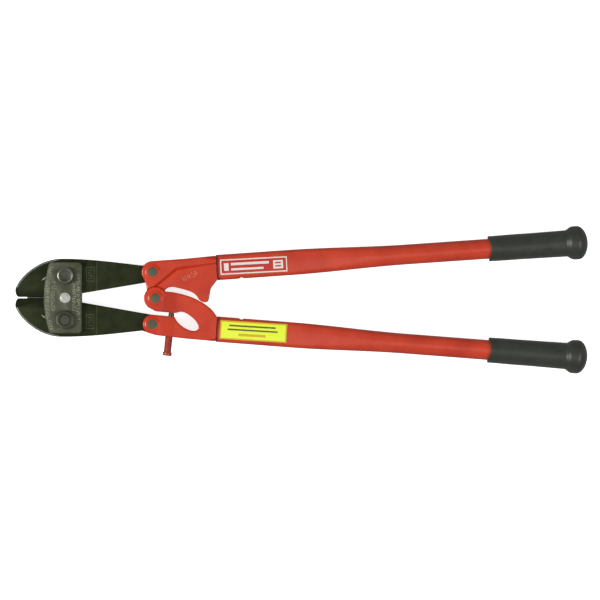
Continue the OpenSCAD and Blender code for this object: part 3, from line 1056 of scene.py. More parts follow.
@dataclass
class CoverPlate:
    """One of the two plates that tie the blade bolts together; the front one has raised blocks."""

    name: str
    front: bool
    inner: float = 6.0
    thickness: float = 5.5
    height: float = 75.2
    back: float = -78.5
    nose: float = -118.4
    arc_radius: float = 117.1

    def outline(self) -> list[Point]:
        """Returns the plate's outline: the round edge, then the square back with small corners."""
        half = self.height / 2
        centre = (self.nose + self.arc_radius, 0.0)
        sweep = math.degrees(math.asin(half / self.arc_radius))
        corner = 4.0
        return [
            *arc(centre, self.arc_radius, 180 - sweep, 180 + sweep, 36),
            *arc((self.back - corner, corner - half), corner, -90, 0, 8),
            *arc((self.back - corner, half - corner), corner, 0, 90, 8),
        ]

    def mark_row(self, from_y: float, to_y: float, line: Callable[[float], float], tall: float,
                 advance: float, seed: int) -> list[Solid]:
        """Returns a row of plain raised ticks down the plate.

        Args:
            from_y: Where the row starts.
            to_y: Where it ends.
            line: Gives the row's middle in x from y.
            tall: The row's size across its direction.
            advance: The room that each cell of ticks takes.
            seed: Picks the row's own mix of ticks.
        """
        top = self.inner + self.thickness
        count = int((to_y - from_y) / advance)
        ys = [from_y + advance * (k + 0.5) for k in range(count)]
        return scattered_ticks([(line(y), y) for y in ys], advance, tall, 0.72, top - 0.3, top + 0.38, seed)

    def raised_marks(self) -> list[Solid]:
        """Returns the four rows of ticks on the front plate."""
        centre = self.nose + self.arc_radius

        def on_arc(inset: float) -> Callable[[float], float]:
            """Returns the line of a row that follows the round edge."""
            radius = self.arc_radius - inset
            return lambda y: centre - math.sqrt(radius * radius - y * y)

        return [
            *self.mark_row(-35, 34, on_arc(3.2), 4.2, 1.7, 3),
            *self.mark_row(-14, 19, on_arc(9.4), 4.4, 2.1, 5),
            *self.mark_row(-14, 16.5, lambda y: -86.4, 3.6, 1.6, 7),
            *self.mark_row(-23.5, 26.5, lambda y: -81.9, 3.6, 1.6, 9),
        ]

    def build(self) -> Solid:
        """Builds, dresses and installs the plate."""
        plate = prism("plate", self.outline(), self.inner, self.inner + self.thickness)
        holes = [bore(JAW_BOLT[0], side.value * JAW_BOLT[1], BOLT_HOLE) for side in Side]
        shape(plate, holes, Cut.REMOVE)
        dressed(plate, PLATE_GREY, PLATE_WORN_HIGHLIGHT)
        bevelled(plate, 0.8, 40)
        # Chamfers away from the bolt heads take the lighter steel: worn edges with a painted highlight.
        round_the_bolt = 8
        for face in plate.data.polygons:
            sloping = 0.2 < abs(face.normal.z) < 0.95
            if sloping and math.dist((face.center.x, abs(face.center.y)), JAW_BOLT) > round_the_bolt:
                face.material_index = 1
        pieces = [plate]
        if self.front:
            # The ticks' lighter steel is worn metal with a painted highlight.
            pieces += [dressed(mark, PLATE_WORN_HIGHLIGHT) for mark in self.raised_marks()]
        whole = joined(self.name, pieces)
        facing = Matrix.Identity(4) if self.front else Matrix.Diagonal((1.0, 1.0, -1.0, 1.0))
        node = "front_cover_plate" if self.front else "rear_cover_plate"
        return install(whole, HEAD[Side.UPPER].matrix() @ facing, 30, "head", [node], PLATE_GREY)


def hexagon_nut(name: str, across_flats: float, height: float, hole: float, low: float) -> Solid:
    """Returns a hexagonal nut with chamfered corners and a countersunk hole, corners up and down.

    Args:
        name: The object's name.
        across_flats: Its width across flats.
        height: Its height.
        hole: The radius of its hole.
        low: The height of its seat.
    """
    corner = across_flats / math.sqrt(3)
    nut = prism(name, hexagon(across_flats), low, low + height)
    drop = (corner - across_flats / 2) * 0.62
    flat = across_flats / 2 * 0.96
    limit = [(0, low), (flat, low), (corner + 0.05, low + drop), (corner + 0.05, low + height - drop),
             (flat, low + height), (0, low + height)]
    shape(nut, [lathe("limit", limit, 96)], Cut.KEEP)
    sink = 0.35
    eye = [(0, low - 1), (hole + sink + 1, low - 1), (hole, low + sink), (hole, low + height - sink),
           (hole + sink + 1, low + height + 1), (0, low + height + 1)]
    shape(nut, [lathe("eye", eye, 72)], Cut.REMOVE)
    return nut


def thread_wall(radius: float, depth: float, pitch: float, low: float, high: float) -> Solid:
    """Returns a closed threaded rod.

    Args:
        radius: The radius over the crests.
        depth: The depth of the groove.
        pitch: The rise in one turn.
        low: The height of its lower end.
        high: The height of its upper end.
    """
    around, per_turn = 48, 8
    levels = max(2, int((high - low) / pitch * per_turn))
    rings = []
    for k in range(levels + 1):
        z = low + (high - low) * k / levels
        taper = min(1.0, (z - low) / pitch, (high - z) / pitch) if high - low > 2 * pitch else 1.0
        ring = []
        for i in range(around):
            a = 2 * math.pi * i / around
            phase = (z / pitch - i / around) % 1.0
            groove = depth * (1.0 - min(1.0, abs(phase - 0.5) * 2.6))
            r = radius - max(groove, depth * (1.0 - taper))
            ring.append(Vector((r * math.cos(a), r * math.sin(a), z)))
        rings.append(ring)
    return loft("thread", rings)


@dataclass
class BladeBolt:
    """A blade bolt with a round head and its hexagonal nut; the lower one has its nut in front."""

    side: Side
    seat: float = PLATE_FACE
    head_radius: float = 8.9
    head_height: float = 6.5
    shank: float = 6.0
    across_flats: float = 18.0

    def place(self) -> Matrix:
        """Returns the matrix from the bolt's own frame, head up, to the row frame."""
        flip = Matrix.Identity(4) if self.side is Side.UPPER else Matrix.Rotation(math.pi, 4, "Y")
        spot = Matrix.Translation((JAW_BOLT[0], self.side.value * JAW_BOLT[1], 0))
        return HEAD[Side.UPPER].matrix() @ spot @ flip

    def head(self) -> Solid:
        """Returns the round head with its chamfer and a shallow turned dish."""
        top = self.seat + self.head_height
        r = self.head_radius
        profile = [(0, self.seat), (r - 0.3, self.seat), (r, self.seat + 0.3), (r, top - 1.5),
                   (r - 0.35, top - 0.85), (r - 1.5, top - 0.08), (r - 2.2, top), (r - 2.5, top - 0.12),
                   (2.4, top - 0.3), (0, top - 0.3)]
        return lathe("head", profile, 96)

    def build(self) -> list[Solid]:
        """Builds, dresses and installs the bolt and its nut."""
        name = self.side.word
        end = -self.seat - self.head_height + 0.4
        head = dressed(self.head(), BOLT_GREY, BOLT_EDGE_HIGHLIGHT)
        # The head's outer chamfer ring is painted light as a highlight.
        for face in head.data.polygons:
            ring = math.hypot(face.center.x, face.center.y)
            face.material_index = 1 if self.head_radius - 2.3 < ring and abs(face.normal.z) > 0.25 else 0
        rod = dressed(lathe("rod", [(0, self.seat), (self.shank, self.seat), (self.shank, -self.seat),
                                    (self.shank - 0.5, -self.seat - 0.2), (0, -self.seat - 0.2)]), BOLT_GREY)
        thread = dressed(thread_wall(self.shank, 0.6, 1.75, end, -self.seat), BOLT_GREY)
        bolt = joined(f"{name}_jaw_bolt", [head, rod, thread])
        nut = hexagon_nut(f"{name}_jaw_nut", self.across_flats, self.head_height, self.shank + CLEARANCE,
                          -self.seat - self.head_height)
        dressed(nut, BOLT_GREY, BOLT_EDGE_HIGHLIGHT)
        # The nut's chamfers are painted light as a highlight.
        bevelled(nut, 0.35, 50, slot=1)
        return [
            install(bolt, self.place(), 28, "head", [f"{name}_blade_bolt"], BOLT_GREY),
            install(nut, self.place(), 28, "head", [f"{name}_blade_nut"], BOLT_GREY),
        ]


@dataclass
class Badge:
    """The small bright disc on the front plate: plain turned rings and a knurled rim."""

    seat: float = PLATE_FACE
    radius: float = 5.65
    height: float = 0.6
    knurls: int = 28

    def build(self) -> Solid:
        """Builds, dresses and installs the badge."""
        rings = []
        around = self.knurls * 4
        profile = [(1.0, 0.0), (1.0, 0.55), (0.965, 0.8), (0.86, 1.0), (0.80, 0.72), (0.72, 0.72),
                   (0.66, 1.0), (0.30, 1.0), (0.25, 0.8), (0.12, 0.8), (0.04, 0.95)]
        for share, level in profile:
            ring = []
            for i in range(around):
                a = 2 * math.pi * i / around
                dip = 0.22 * (0.5 + 0.5 * math.cos(self.knurls * a)) if share > 0.9 else 0.0
                r = self.radius * share - dip
                ring.append(Vector((r * math.cos(a), r * math.sin(a), level * self.height)))
            rings.append(ring)
        disc = dressed(loft("plate_disc", rings), BADGE_BRIGHT)
        place = HEAD[Side.UPPER].matrix() @ Matrix.Translation((JAW_BOLT[0], 0, self.seat))
        return install(disc, place, 40, "head", ["plate_badge"], BADGE_BRIGHT)


@dataclass
class Forging:
    """What both adapters share: ears, slots, bores and the tang inside the tube."""

    side: Side
    ear_half: float = EAR_HALF
    body_half: float = 8.0
    slot_half: float = 5.0
    tongue_half: float = 4.8
    pivot_ear: float = 12.3
    pin: float = 4.06
    pin_head: float = 5.16
    boss: float = 7.2
    boss_top: float = 12.2
    seat: float = PIN_SEAT
    voxel: float = 0.55
    rounds: int = 20

    def slab(self, outline: Sequence[Point], half: float) -> Solid:
        """Returns a slab about the middle plane."""
        return prism("slab", outline, -half, half)

    def tang(self) -> Solid:
        """Returns the tongue that goes into the flattened tube."""
        return block(TUBE_START - 8, LINK_OUT - 11.2, -4.0, 92, LINK_OUT + 11.2, 4.0)

    def link_slot(self) -> list[Solid]:
        """Returns the tools for the slot that the blade's tail swings in."""
        lean = 181 + TAIL_SLOPE - math.degrees(HALF_ANGLE)
        swing, reach, room = 70.0, 26.0, TAIL_ROUND + 0.2
        spot = Matrix.Translation((LINK_BACK, LINK_OUT, 0))
        tools = [bore(LINK_BACK, LINK_OUT, TAIL_ROUND + 0.9, -self.slot_half, self.slot_half)]
        for angle in (lean, lean - swing):
            tool = block(0, -room, -self.slot_half, reach, room, self.slot_half)
            tools.append(turned(tool, spot @ Matrix.Rotation(math.radians(angle), 4, "Z")))
        fan = [(0.0, 0.0), *arc((0, 0), reach, lean - swing, lean, 8)]
        tools.append(turned(prism("fan", fan, -self.slot_half, self.slot_half), spot))
        return tools

    def pin_holes(self, x: float, y: float) -> list[Solid]:
        """Returns the tools for a bolt's through hole and the seat of its round head."""
        return [bore(x, y, self.pin), bore(x, y, self.pin_head, self.seat, 30)]

    def boss_at(self, x: float, y: float) -> Solid:
        """Returns the raised boss round a bolt head."""
        return bore(x, y, self.boss, 0, self.boss_top)

    def shoulders(self) -> list[Solid]:
        """Returns the tools that bring the outer edge down to the tube's round side."""
        edge = LINK_OUT + FLAT_WIDTH / 2 - 0.8
        tools = []
        for up in (1, -1):
            rings = []
            for x, shift in ((42.0, 6.3), (TUBE_START + 0.6, 0.0)):
                corners = ((edge - 8, 14.0), (edge + 4, -0.1), (edge + 14, 14.0))
                rings.append([Vector((x, y + shift, up * z)) for y, z in corners])
            tools.append(loft("shoulder", rings))
        return tools

    def complete(self, forging: Solid, cuts: list[Solid], extra: list[Solid]) -> Solid:
        """Rounds the forging, machines it, adds raised marks, dresses and installs it.

        Args:
            forging: The rough solid.
            cuts: The tools that machine it after it is rounded.
            extra: Small raised marks that sit on its faces.

        Returns:
            The installed piece.
        """
        name = self.side.word
        shape(forging, self.shoulders(), Cut.REMOVE)
        soften(forging, self.voxel, self.rounds)
        mark_convexity(forging)
        shape(forging, cuts, Cut.REMOVE)
        dressed(forging, FORGED_RED)
        # The raised marks take the light pink enamel: rubbed paint with a painted highlight.
        whole = joined(f"{name}_forging", [forging, *[dressed(mark, FORGED_RUBBED_HIGHLIGHT) for mark in extra]])
        return install(whole, HANDLE[self.side].matrix(), 42, f"{name}_handle", [f"{name}_adapter"],
                       FORGED_RED)


@dataclass
class UpperAdapter(Forging):
    """The forging on the upper handle: link ears, pivot tongue, stop nub."""

    ear: float = 11.7

    def outline(self) -> list[Point]:
        """Returns the outline of the whole forging."""
        edge = FLAT_WIDTH / 2 - 0.8
        return [
            (TUBE_START, LINK_OUT + edge),
            (34, LINK_OUT + self.ear),
            *arc((LINK_BACK, LINK_OUT), self.ear, 90, 200, 22),
            *curve((-10.9, 21.6), (-9.1, 17.5), (-8.3, 14.5), (-8.6, 8), 8),
            (-9.0, 6.0),
            *arc((0, 0), self.pivot_ear - 0.3, 150, 395, 40),
            *curve((10.2, 7.2), (12.5, 9.8), (16, 12.2), (23, 9.7), 10),
            *curve((23, 9.7), (35, 6.0), (43, 3.5), (45.2, -3), 12),
            *curve((45.2, -3), (45.9, -4.8), (48.2, -6.9), (50.4, -7.9), 4),
            (54.4, -8.1),
            *curve((55.6, -7.4), (57.6, -5), (57.9, 4), (60.5, 7.5), 8),
            (TUBE_START, LINK_OUT - edge),
        ]

    def raised_zone(self) -> list[Point]:
        """Returns the outline of the part that is as thick as the ears."""
        return [(-20, -2), (-6, 9), (-1.3, 12.5), (24.2, 30.8), (TUBE_START, 34.9), (TUBE_START, 45),
                (-20, 45)]

    def sloping_zone(self) -> Solid:
        """Returns the raised part as a solid whose lower wall slopes down to the body."""
        zone = self.raised_zone()
        run = 2.6
        foot = inwards(zone, [-run, -run, -run, -run, -run, 0.0, 0.0])
        levels = ((-20.0, zone), (-self.ear_half, zone), (-self.body_half, foot), (self.body_half, foot),
                  (self.ear_half, zone), (20.0, zone))
        return loft("zone", [[Vector((x, y, z)) for x, y in ring] for z, ring in levels])

    def rail_slopes(self) -> list[Solid]:
        """Returns the tools that let the top rail run down towards the tube."""
        start, end, end_z, above = 30.0, 70.0, 9.0, 20.0
        section = [(start, self.ear_half), (end, end_z), (end, above), (start, above)]
        spot = Matrix.Translation((0, LINK_OUT, 0))
        return [turned(tool, spot) for tool in on_both_faces(section, (-12, 12), up_y)]

    def build(self) -> Solid:
        """Builds and installs the upper adapter."""
        forging = self.slab(self.outline(), self.body_half)
        ears = shape(self.slab(self.outline(), self.ear_half), [self.sloping_zone()], Cut.KEEP)
        shape(ears, self.rail_slopes(), Cut.REMOVE)
        shape(forging, [ears, self.boss_at(LINK_BACK, LINK_OUT), self.tang()], Cut.ADD)
        recess = self.pivot_ear + 0.3
        cuts = [*self.link_slot(), *self.pin_holes(LINK_BACK, LINK_OUT), bore(0, 0, self.pin),
                bore(0, 0, recess, self.tongue_half, 30), bore(0, 0, recess, -30, -self.tongue_half)]
        top = self.body_half
        spots = [(0.0, 2.45 * k - 7.5) for k in range(7)]
        marks = scattered_ticks(spots, 2.2, 5.0, 0.95, top - 0.4, top + 0.3, 4)
        lean = Matrix.Translation((38.6, 21.0, 0)) @ Matrix.Rotation(math.radians(-67.6), 4, "Z")
        marks = [turned(mark, lean) for mark in marks]
        return self.complete(forging, cuts, marks)


@dataclass
class LowerAdapter(Forging):
    """The forging on the lower handle: pivot ears, long window, flex gap, link ears, screw hole."""

    ear: float = 10.3
    ear_zone: float = 13.0

    def outline(self) -> list[Point]:
        """Returns the outline of the whole forging, with y outwards from the other handle."""
        edge = FLAT_WIDTH / 2 - 0.5
        return [
            *arc((0, 0), self.pivot_ear, -40, -256, 36),
            *curve((-1.8, 12.4), (-1, 13.4), (0.6, 14), (4, 14.1), 4),
            *curve((20, 14.3), (24.5, 14.6), (26, 12.2), (29, 12.3), 6),
            *curve((29, 12.3), (35, 12.3), (48.4, 21.5), (48.4, 28), 12),
            *curve((48.4, 28), (48.4, 31), (44, 32.3), (40.5, 31.6), 7),
            *curve((40.5, 31.6), (33, 30.5), (24, 24), (22.4, 19.2), 10),
            (21.2, 18.2),
            *arc((LINK_BACK, LINK_OUT), self.ear, -78, -245, 26),
            (4, 39.4),
            (30, 40.4),
            (TUBE_START, LINK_OUT + edge),
            (TUBE_START, LINK_OUT - edge),
            *curve((65.9, 13.9), (63, 9), (58, 5), (51.5, 1.5), 8),
            *curve((51.5, 1.5), (42, -3.8), (29, -6.9), (16, -7.9), 10),
        ]

    def build(self) -> Solid:
        """Builds and installs the lower adapter."""
        forging = self.slab(self.outline(), self.body_half)
        near, far = self.ear_zone - 5.0, self.ear_zone + 11.0
        zone = [(-20, -20), (far, -20), (far, 50), (-20, 50)]
        ears = shape(self.slab(self.outline(), self.ear_half), [self.slab(zone, 20)], Cut.KEEP)
        ramp = [(near, self.ear_half), (far + 1, self.body_half - 0.3), (far + 1, 20), (near, 20)]
        shape(ears, on_both_faces(ramp, (-60, 60), up_y), Cut.REMOVE)
        shape(forging, [ears, self.boss_at(LINK_BACK, LINK_OUT), self.boss_at(0, 0), self.tang()], Cut.ADD)
        cuts = [bore(0, 0, self.pivot_ear + 0.4, -self.slot_half, self.slot_half), *self.link_slot(),
                *self.pin_holes(LINK_BACK, LINK_OUT), *self.pin_holes(0, 0), ScrewSet().hole()]
        return self.complete(forging, cuts, [])


@dataclass
class ScrewSet:
    """The adjusting screw through the lower adapter's link arm, and its bearing pad."""

    foot: float = 18.7
    tilt: float = 1.7
    pad_tip: float = 14.35
    pad_length: float = 4.6
    pad_radius: float = 3.05
    shank: float = 4.1
    pitch: float = 1.25
    head_start: float = 56.4
    head_end: float = 60.4
    head_radius: float = 4.95
    socket: float = 5.0

    def axis(self) -> Matrix:
        """Returns the matrix from the screw's own frame, Z outwards, to the handle's frame."""
        spot = Matrix.Translation((self.foot, 0, 0))
        lean = Matrix.Rotation(math.radians(self.tilt), 4, "Z")
        return spot @ lean @ Matrix.Rotation(math.radians(-90), 4, "X")

    def hole(self) -> Solid:
        """Returns the tool for the screw's hole, in the handle's frame."""
        return turned(bore(0, 0, self.shank + CLEARANCE, 16, 46), self.axis())

    def build(self) -> list[Solid]:
        """Builds, dresses and installs the screw and its pad."""
        place = HANDLE[Side.LOWER].matrix() @ self.axis()
        start = self.pad_tip + self.pad_length + 0.05
        thread = dressed(thread_wall(self.shank, 0.28, self.pitch, start, self.head_start), SCREW_RED)
        r, low, high = self.head_radius, self.head_start - 0.2, self.head_end
        profile = [(0, low), (self.shank - 0.1, low), (r - 0.5, low + 0.35), (r, low + 0.9), (r, high - 0.8),
                   (r - 0.25, high - 0.3), (r - 0.8, high), (0, high)]
        head = lathe("head", profile, 72)
        shape(head, [prism("socket", hexagon(self.socket), high - 2.5, high + 1)], Cut.REMOVE)
        dressed(head, SCREW_RED)
        screw = joined("handle_adjuster", [thread, head])
        tip, end, p = self.pad_tip, self.pad_tip + self.pad_length, self.pad_radius
        pad_profile = [(0, tip), (p - 0.8, tip), (p - 0.2, tip + 0.25), (p, tip + 0.8), (p, end), (0, end)]
        pad = dressed(lathe("adjuster_pad", pad_profile, 64), PIN_DARK)
        return [
            install(screw, place, 35, "adjusting_screw", ["adjusting_screw"], SCREW_RED),
            install(pad, place, 35, "screw_pad", ["screw_bearing_pad"], PIN_DARK),
        ]


@dataclass
class PivotBolt:
    """A shoulder bolt through the ears, with a low round head let into a boss and a nut behind."""

    name: str
    side: Side
    x: float
    y: float
    nodes: tuple[str, str]
    shank: float = 4.0
    head_radius: float = 5.1
    seat: float = PIN_SEAT
    face: float = 12.3
    dome: float = 0.4
    ear_half: float = EAR_HALF
    nut_height: float = 6.0
    across_flats: float = 13.0

    def build(self) -> list[Solid]:
        """Builds, dresses and installs the bolt and its nut."""
        body = f"{self.side.word}_handle"
        place = HANDLE[self.side].matrix() @ Matrix.Translation((self.x, self.y, 0))
        r, top = self.head_radius, self.face
        angles = [math.radians(15 * k) for k in range(1, 6)]
        dome = [(r * math.cos(a), top + self.dome * math.sin(a)) for a in angles]
        profile = [(0, self.seat), (r, self.seat), (r, top - 0.1), *dome, (0, top + self.dome)]
        head = dressed(lathe("head", profile, 72), PIN_DARK)
        end = -self.ear_half - self.nut_height + 0.4
        rod = dressed(lathe("rod", [(0, self.seat), (self.shank, self.seat), (self.shank, -self.ear_half),
                                    (0, -self.ear_half)]), PIN_DARK)
        thread = dressed(thread_wall(self.shank, 0.45, 1.25, end, -self.ear_half), PIN_DARK)
        bolt = joined(f"{self.name}_pin", [head, rod, thread])
        nut = hexagon_nut(f"{self.name}_pin_nut", self.across_flats, self.nut_height, self.shank + CLEARANCE,
                          -self.ear_half - self.nut_height)
        dressed(nut, BOLT_GREY, BOLT_EDGE_HIGHLIGHT)
        # The nut's chamfers are painted light as a highlight.
        bevelled(nut, 0.25, 50, slot=1)
        return [
            install(bolt, place, 30, body, [self.nodes[0]], PIN_DARK),
            install(nut, place, 28, body, [self.nodes[1]], BOLT_GREY),
        ]


@dataclass
class HandleTube:
    """A drawn tube, flattened at one end where it takes the adapter's tang."""

    side: Side
    start: float = TUBE_START
    flat_end: float = 146.0
    round_start: float = 269.0
    end: float = 454.0
    flat_width: float = FLAT_WIDTH
    flat_thickness: float = 12.0
    radius: float = 10.65
    wall: float = 1.8
    crimp_at: float = 93.0
    crimp_depth: float = 1.3
    crimp_half: float = 1.7
    around: int = 72

    def section(self, x: float) -> tuple[float, float]:
        """Returns the tube's width and thickness at a distance along the handle."""
        t = min(1.0, max(0.0, (x - self.flat_end) / (self.round_start - self.flat_end)))
        ease = t * t * (3.0 - 2.0 * t)
        full, flat, thin = 2 * self.radius, self.flat_width, self.flat_thickness
        return flat + (full - flat) * ease, thin + (full - thin) * ease

    def point(self, x: float, angle: float, inset: float = 0.0) -> Vector:
        """Returns a point on the tube's skin.

        Args:
            x: The distance along the handle.
            angle: The direction from the tube's axis, 0 outwards and a quarter turn upwards.
            inset: How far inside the skin.
        """
        width, thickness = self.section(x)
        r = thickness / 2 - inset
        straight = (width - thickness) / 2
        c, s = math.cos(angle), math.sin(angle)
        y = r * c + straight * max(-1.0, min(1.0, 2.2 * c))
        crimp = math.exp(-(((x - self.crimp_at) / self.crimp_half) ** 2))
        dent = self.crimp_depth * crimp * max(0.0, -c) ** 2
        return Vector((x, LINK_OUT + y + dent, r * s))

    def stations(self) -> list[float]:
        """Returns the distances along the handle where the skin has a ring of points."""
        near_crimp = [self.crimp_at + 0.7 * k for k in range(-9, 10)]
        plain = [self.start + 0.4, self.start + 4, self.start + 14]
        plain += [self.crimp_at + 8 + 6.0 * k for k in range(8)]
        plain += [self.flat_end + 4.0 * k for k in range(33)]
        plain += [self.round_start + 12.0 * k for k in range(1, 16)]
        return sorted(x for x in [*near_crimp, *plain, self.end] if x <= self.end)

    def ring(self, x: float, inset: float = 0.0) -> list[Vector]:
        """Returns a ring of points round the tube."""
        return [self.point(x, 2 * math.pi * i / self.around, inset) for i in range(self.around)]

    def build(self) -> Solid:
        """Builds, dresses and installs the tube."""
        name = self.side.word
        inner = [self.ring(self.start + 12, self.wall), self.ring(self.start + 0.3, self.wall),
                 self.ring(self.start, self.wall - 0.3), self.ring(self.start, 0.4)]
        rings = inner + [self.ring(x) for x in self.stations()]
        tube = loft(f"{name}_tube", rings)
        marks = tube.data.attributes.new("edge", "FLOAT", "POINT")
        for index, vertex in enumerate(tube.data.vertices):
            marks.data[index].value = 0.4 if vertex.co.x < self.start + 0.6 else 0.0
        finish = TUBE_RED[self.side]
        dressed(tube, finish)
        return install(tube, HANDLE[self.side].matrix(), 40, f"{name}_handle",
                       [f"{name}_handle_tube"], finish)


@dataclass
class Grip:
    """A dipped vinyl grip with a rolled lip and a domed knob."""

    side: Side
    start: float = 357.4
    length: float = 106.35
    lip: float = 13.6
    waist: float = 14.1
    knob: float = 18.0
    bore: float = 10.71
    tube_end: float = 454.1
    mouth_dip: float = 3.2
    around: int = 96

    def profile(self) -> list[Point]:
        """Returns (radius, distance) points from the bore's mouth over the lip and knob to the end."""
        outer = [
            *arc((self.lip - 1.5, 1.5), 1.5, -90, 0, 6),
            (self.lip - 0.02, 2.6),
            (self.lip - 0.12, 4.2),
            (self.lip - 0.02, 6.0),
            *[(self.lip + (self.waist - self.lip) * k / 15, 6.0 + 5.0 * k) for k in range(1, 16)],
            *curve((self.waist, 82), (self.waist, 86), (self.knob, 86), (self.knob, 92.6), 14),
            (self.knob, 94.2),
            *curve((self.knob, 95.6), (self.knob, 101.4), (9.6, self.length), (0, self.length), 16),
        ]
        depth = self.tube_end - self.start
        return [(self.bore, depth - 60), (self.bore, 0.8), (self.bore + 0.7, 0), *outer]

    def build(self) -> Solid:
        """Builds, dresses and installs the grip."""
        name = self.side.word
        rings = []
        ripple = ((2, 0.05, 0.09, 0.4), (3, 0.04, 0.21, 1.9), (5, 0.025, 0.13, 4.1))
        for radius, distance in self.profile():
            ring = []
            for i in range(self.around):
                a = 2 * math.pi * i / self.around
                outside = radius > self.bore + 1.0 and distance > 2.0
                swell = sum(size * math.sin(n * a + rate * distance + shift)
                            for n, size, rate, shift in ripple)
                r = max(0.02, radius + (swell * min(1.0, radius / self.lip) - 0.09 if outside else 0.0))
                mouth = self.mouth_dip * math.sin(a) ** 2 * max(0.0, 1.0 - distance / 14.0)
                ring.append(Vector((distance + mouth, r * math.cos(a), r * math.sin(a))))
            rings.append(ring)
        grip = loft(f"{name}_dipped_grip", rings)
        dressed(grip, GRIP_BLACK)
        place = HANDLE[self.side].matrix() @ Matrix.Translation((self.start, LINK_OUT, 0))
        return install(grip, place, 60, f"{name}_handle", [f"{name}_grip"], GRIP_BLACK)


@dataclass
class Patch:
    """A rectangle of ink on a label, in the label's own lengths."""

    x0: float
    y0: float
    x1: float
    y1: float
    ink: Finish


@dataclass
class Label:
    """A film sticker wrapped over the front of a flattened tube, printed with plain bars."""

    side: Side
    width: float
    paper: Finish
    patches: list[Patch] = field(default_factory=list)
    start: float = 71.2
    length: float = 71.3
    lean: float = math.radians(0.9)
    film: float = 0.28

    def skin_point(self, tube: HandleTube, x: float, across: float, lift: float) -> Vector:
        """Returns a point above the tube's front, a distance across from its middle.

        Args:
            tube: The tube below.
            x: The distance along the handle.
            across: The distance outwards from the tube's middle line.
            lift: The height above the tube's skin.
        """
        low, high = 0.0, math.pi
        for _ in range(30):
            middle = (low + high) / 2
            if tube.point(x, middle).y - LINK_OUT > across:
                low = middle
            else:
                high = middle
        angle = (low + high) / 2
        return tube.point(x, angle, -lift)

    def on_skin(self, tube: HandleTube, along: float, across: float, lift: float) -> Vector:
        """Returns a point of the slightly askew label from its own lengths along and across."""
        c, s = math.cos(self.lean), math.sin(self.lean)
        return self.skin_point(tube, self.start + along * c + across * s, across * c - along * s, lift)

    def build(self) -> Solid:
        """Builds, dresses and installs the label."""
        tube = HandleTube(self.side, crimp_depth=0.0)
        inks: list[Finish] = [self.paper]
        xs = {0.0, self.length}
        ys = {-self.width / 2, self.width / 2}
        for patch in self.patches:
            xs |= {patch.x0, patch.x1}
            ys |= {patch.y0 - self.width / 2, patch.y1 - self.width / 2}
            if patch.ink not in inks:
                inks.append(patch.ink)
        columns = sorted(xs | {self.length * k / 20 for k in range(1, 20)})
        rows = sorted(ys | {self.width * (k / 16 - 0.5) for k in range(1, 16)})
        work = bmesh.new()
        tops = [[work.verts.new(self.on_skin(tube, x, y, self.film)) for y in rows] for x in columns]
        feet = [[work.verts.new(self.on_skin(tube, x, y, 0.02)) for y in rows] for x in columns]
        for i in range(len(columns) - 1):
            for j in range(len(rows) - 1):
                face = work.faces.new((tops[i][j], tops[i + 1][j], tops[i + 1][j + 1], tops[i][j + 1]))
                x = (columns[i] + columns[i + 1]) / 2
                y = (rows[j] + rows[j + 1]) / 2 + self.width / 2
                for patch in self.patches:
                    if patch.x0 < x < patch.x1 and patch.y0 < y < patch.y1:
                        face.material_index = inks.index(patch.ink)
                work.faces.new((feet[i][j], feet[i][j + 1], feet[i + 1][j + 1], feet[i + 1][j]))
        last, end = len(columns) - 1, len(rows) - 1
        for i in range(last):
            work.faces.new((feet[i][0], feet[i + 1][0], tops[i + 1][0], tops[i][0]))
            work.faces.new((feet[i + 1][end], feet[i][end], tops[i][end], tops[i + 1][end]))
        for j in range(end):
            work.faces.new((feet[0][j + 1], feet[0][j], tops[0][j], tops[0][j + 1]))
            work.faces.new((feet[last][j], feet[last][j + 1], tops[last][j + 1], tops[last][j]))
        name = self.side.word
        label = from_bmesh(f"{name}_sticker", work)
        for ink in inks:
            label.data.materials.append(ink.material())
        return install(label, HANDLE[self.side].matrix(), 40, f"{name}_handle", [f"{name}_label"],
                       self.paper)


def white_label() -> Label:
    """Returns the upper label: a red field in a white border, with plain white bars."""
    label = Label(Side.UPPER, 16.0, LABEL_PAPER)
    label.patches = [
        Patch(1.3, 1.3, 70.2, 14.7, LABEL_RED),
        Patch(4.0, 4.0, 9.0, 12.0, LABEL_PAPER),
        Patch(11.5, 4.0, 46.0, 6.2, LABEL_PAPER),
        Patch(11.5, 9.4, 52.0, 12.0, LABEL_PAPER),
        Patch(56.5, 3.6, 67.0, 12.4, LABEL_PAPER),
        Patch(58.5, 5.6, 65.0, 7.2, LABEL_RED),
        Patch(58.5, 9.0, 65.0, 10.6, LABEL_RED),
    ]
    return label


def yellow_label() -> Label:
    """Returns the lower label: a yellow field in an orange border, with plain dark and orange bars."""
    label = Label(Side.LOWER, 19.8, LABEL_ORANGE)
    label.patches = [
        Patch(1.5, 1.4, 69.8, 18.4, LABEL_YELLOW),
        Patch(9.5, 4.2, 59.0, 5.9, LABEL_DARK),
        Patch(8.0, 8.3, 61.5, 10.0, LABEL_DARK),
        Patch(20.0, 13.0, 49.0, 15.6, LABEL_RUST),
    ]
    return label


# ---------------------------------------------------------------- studio


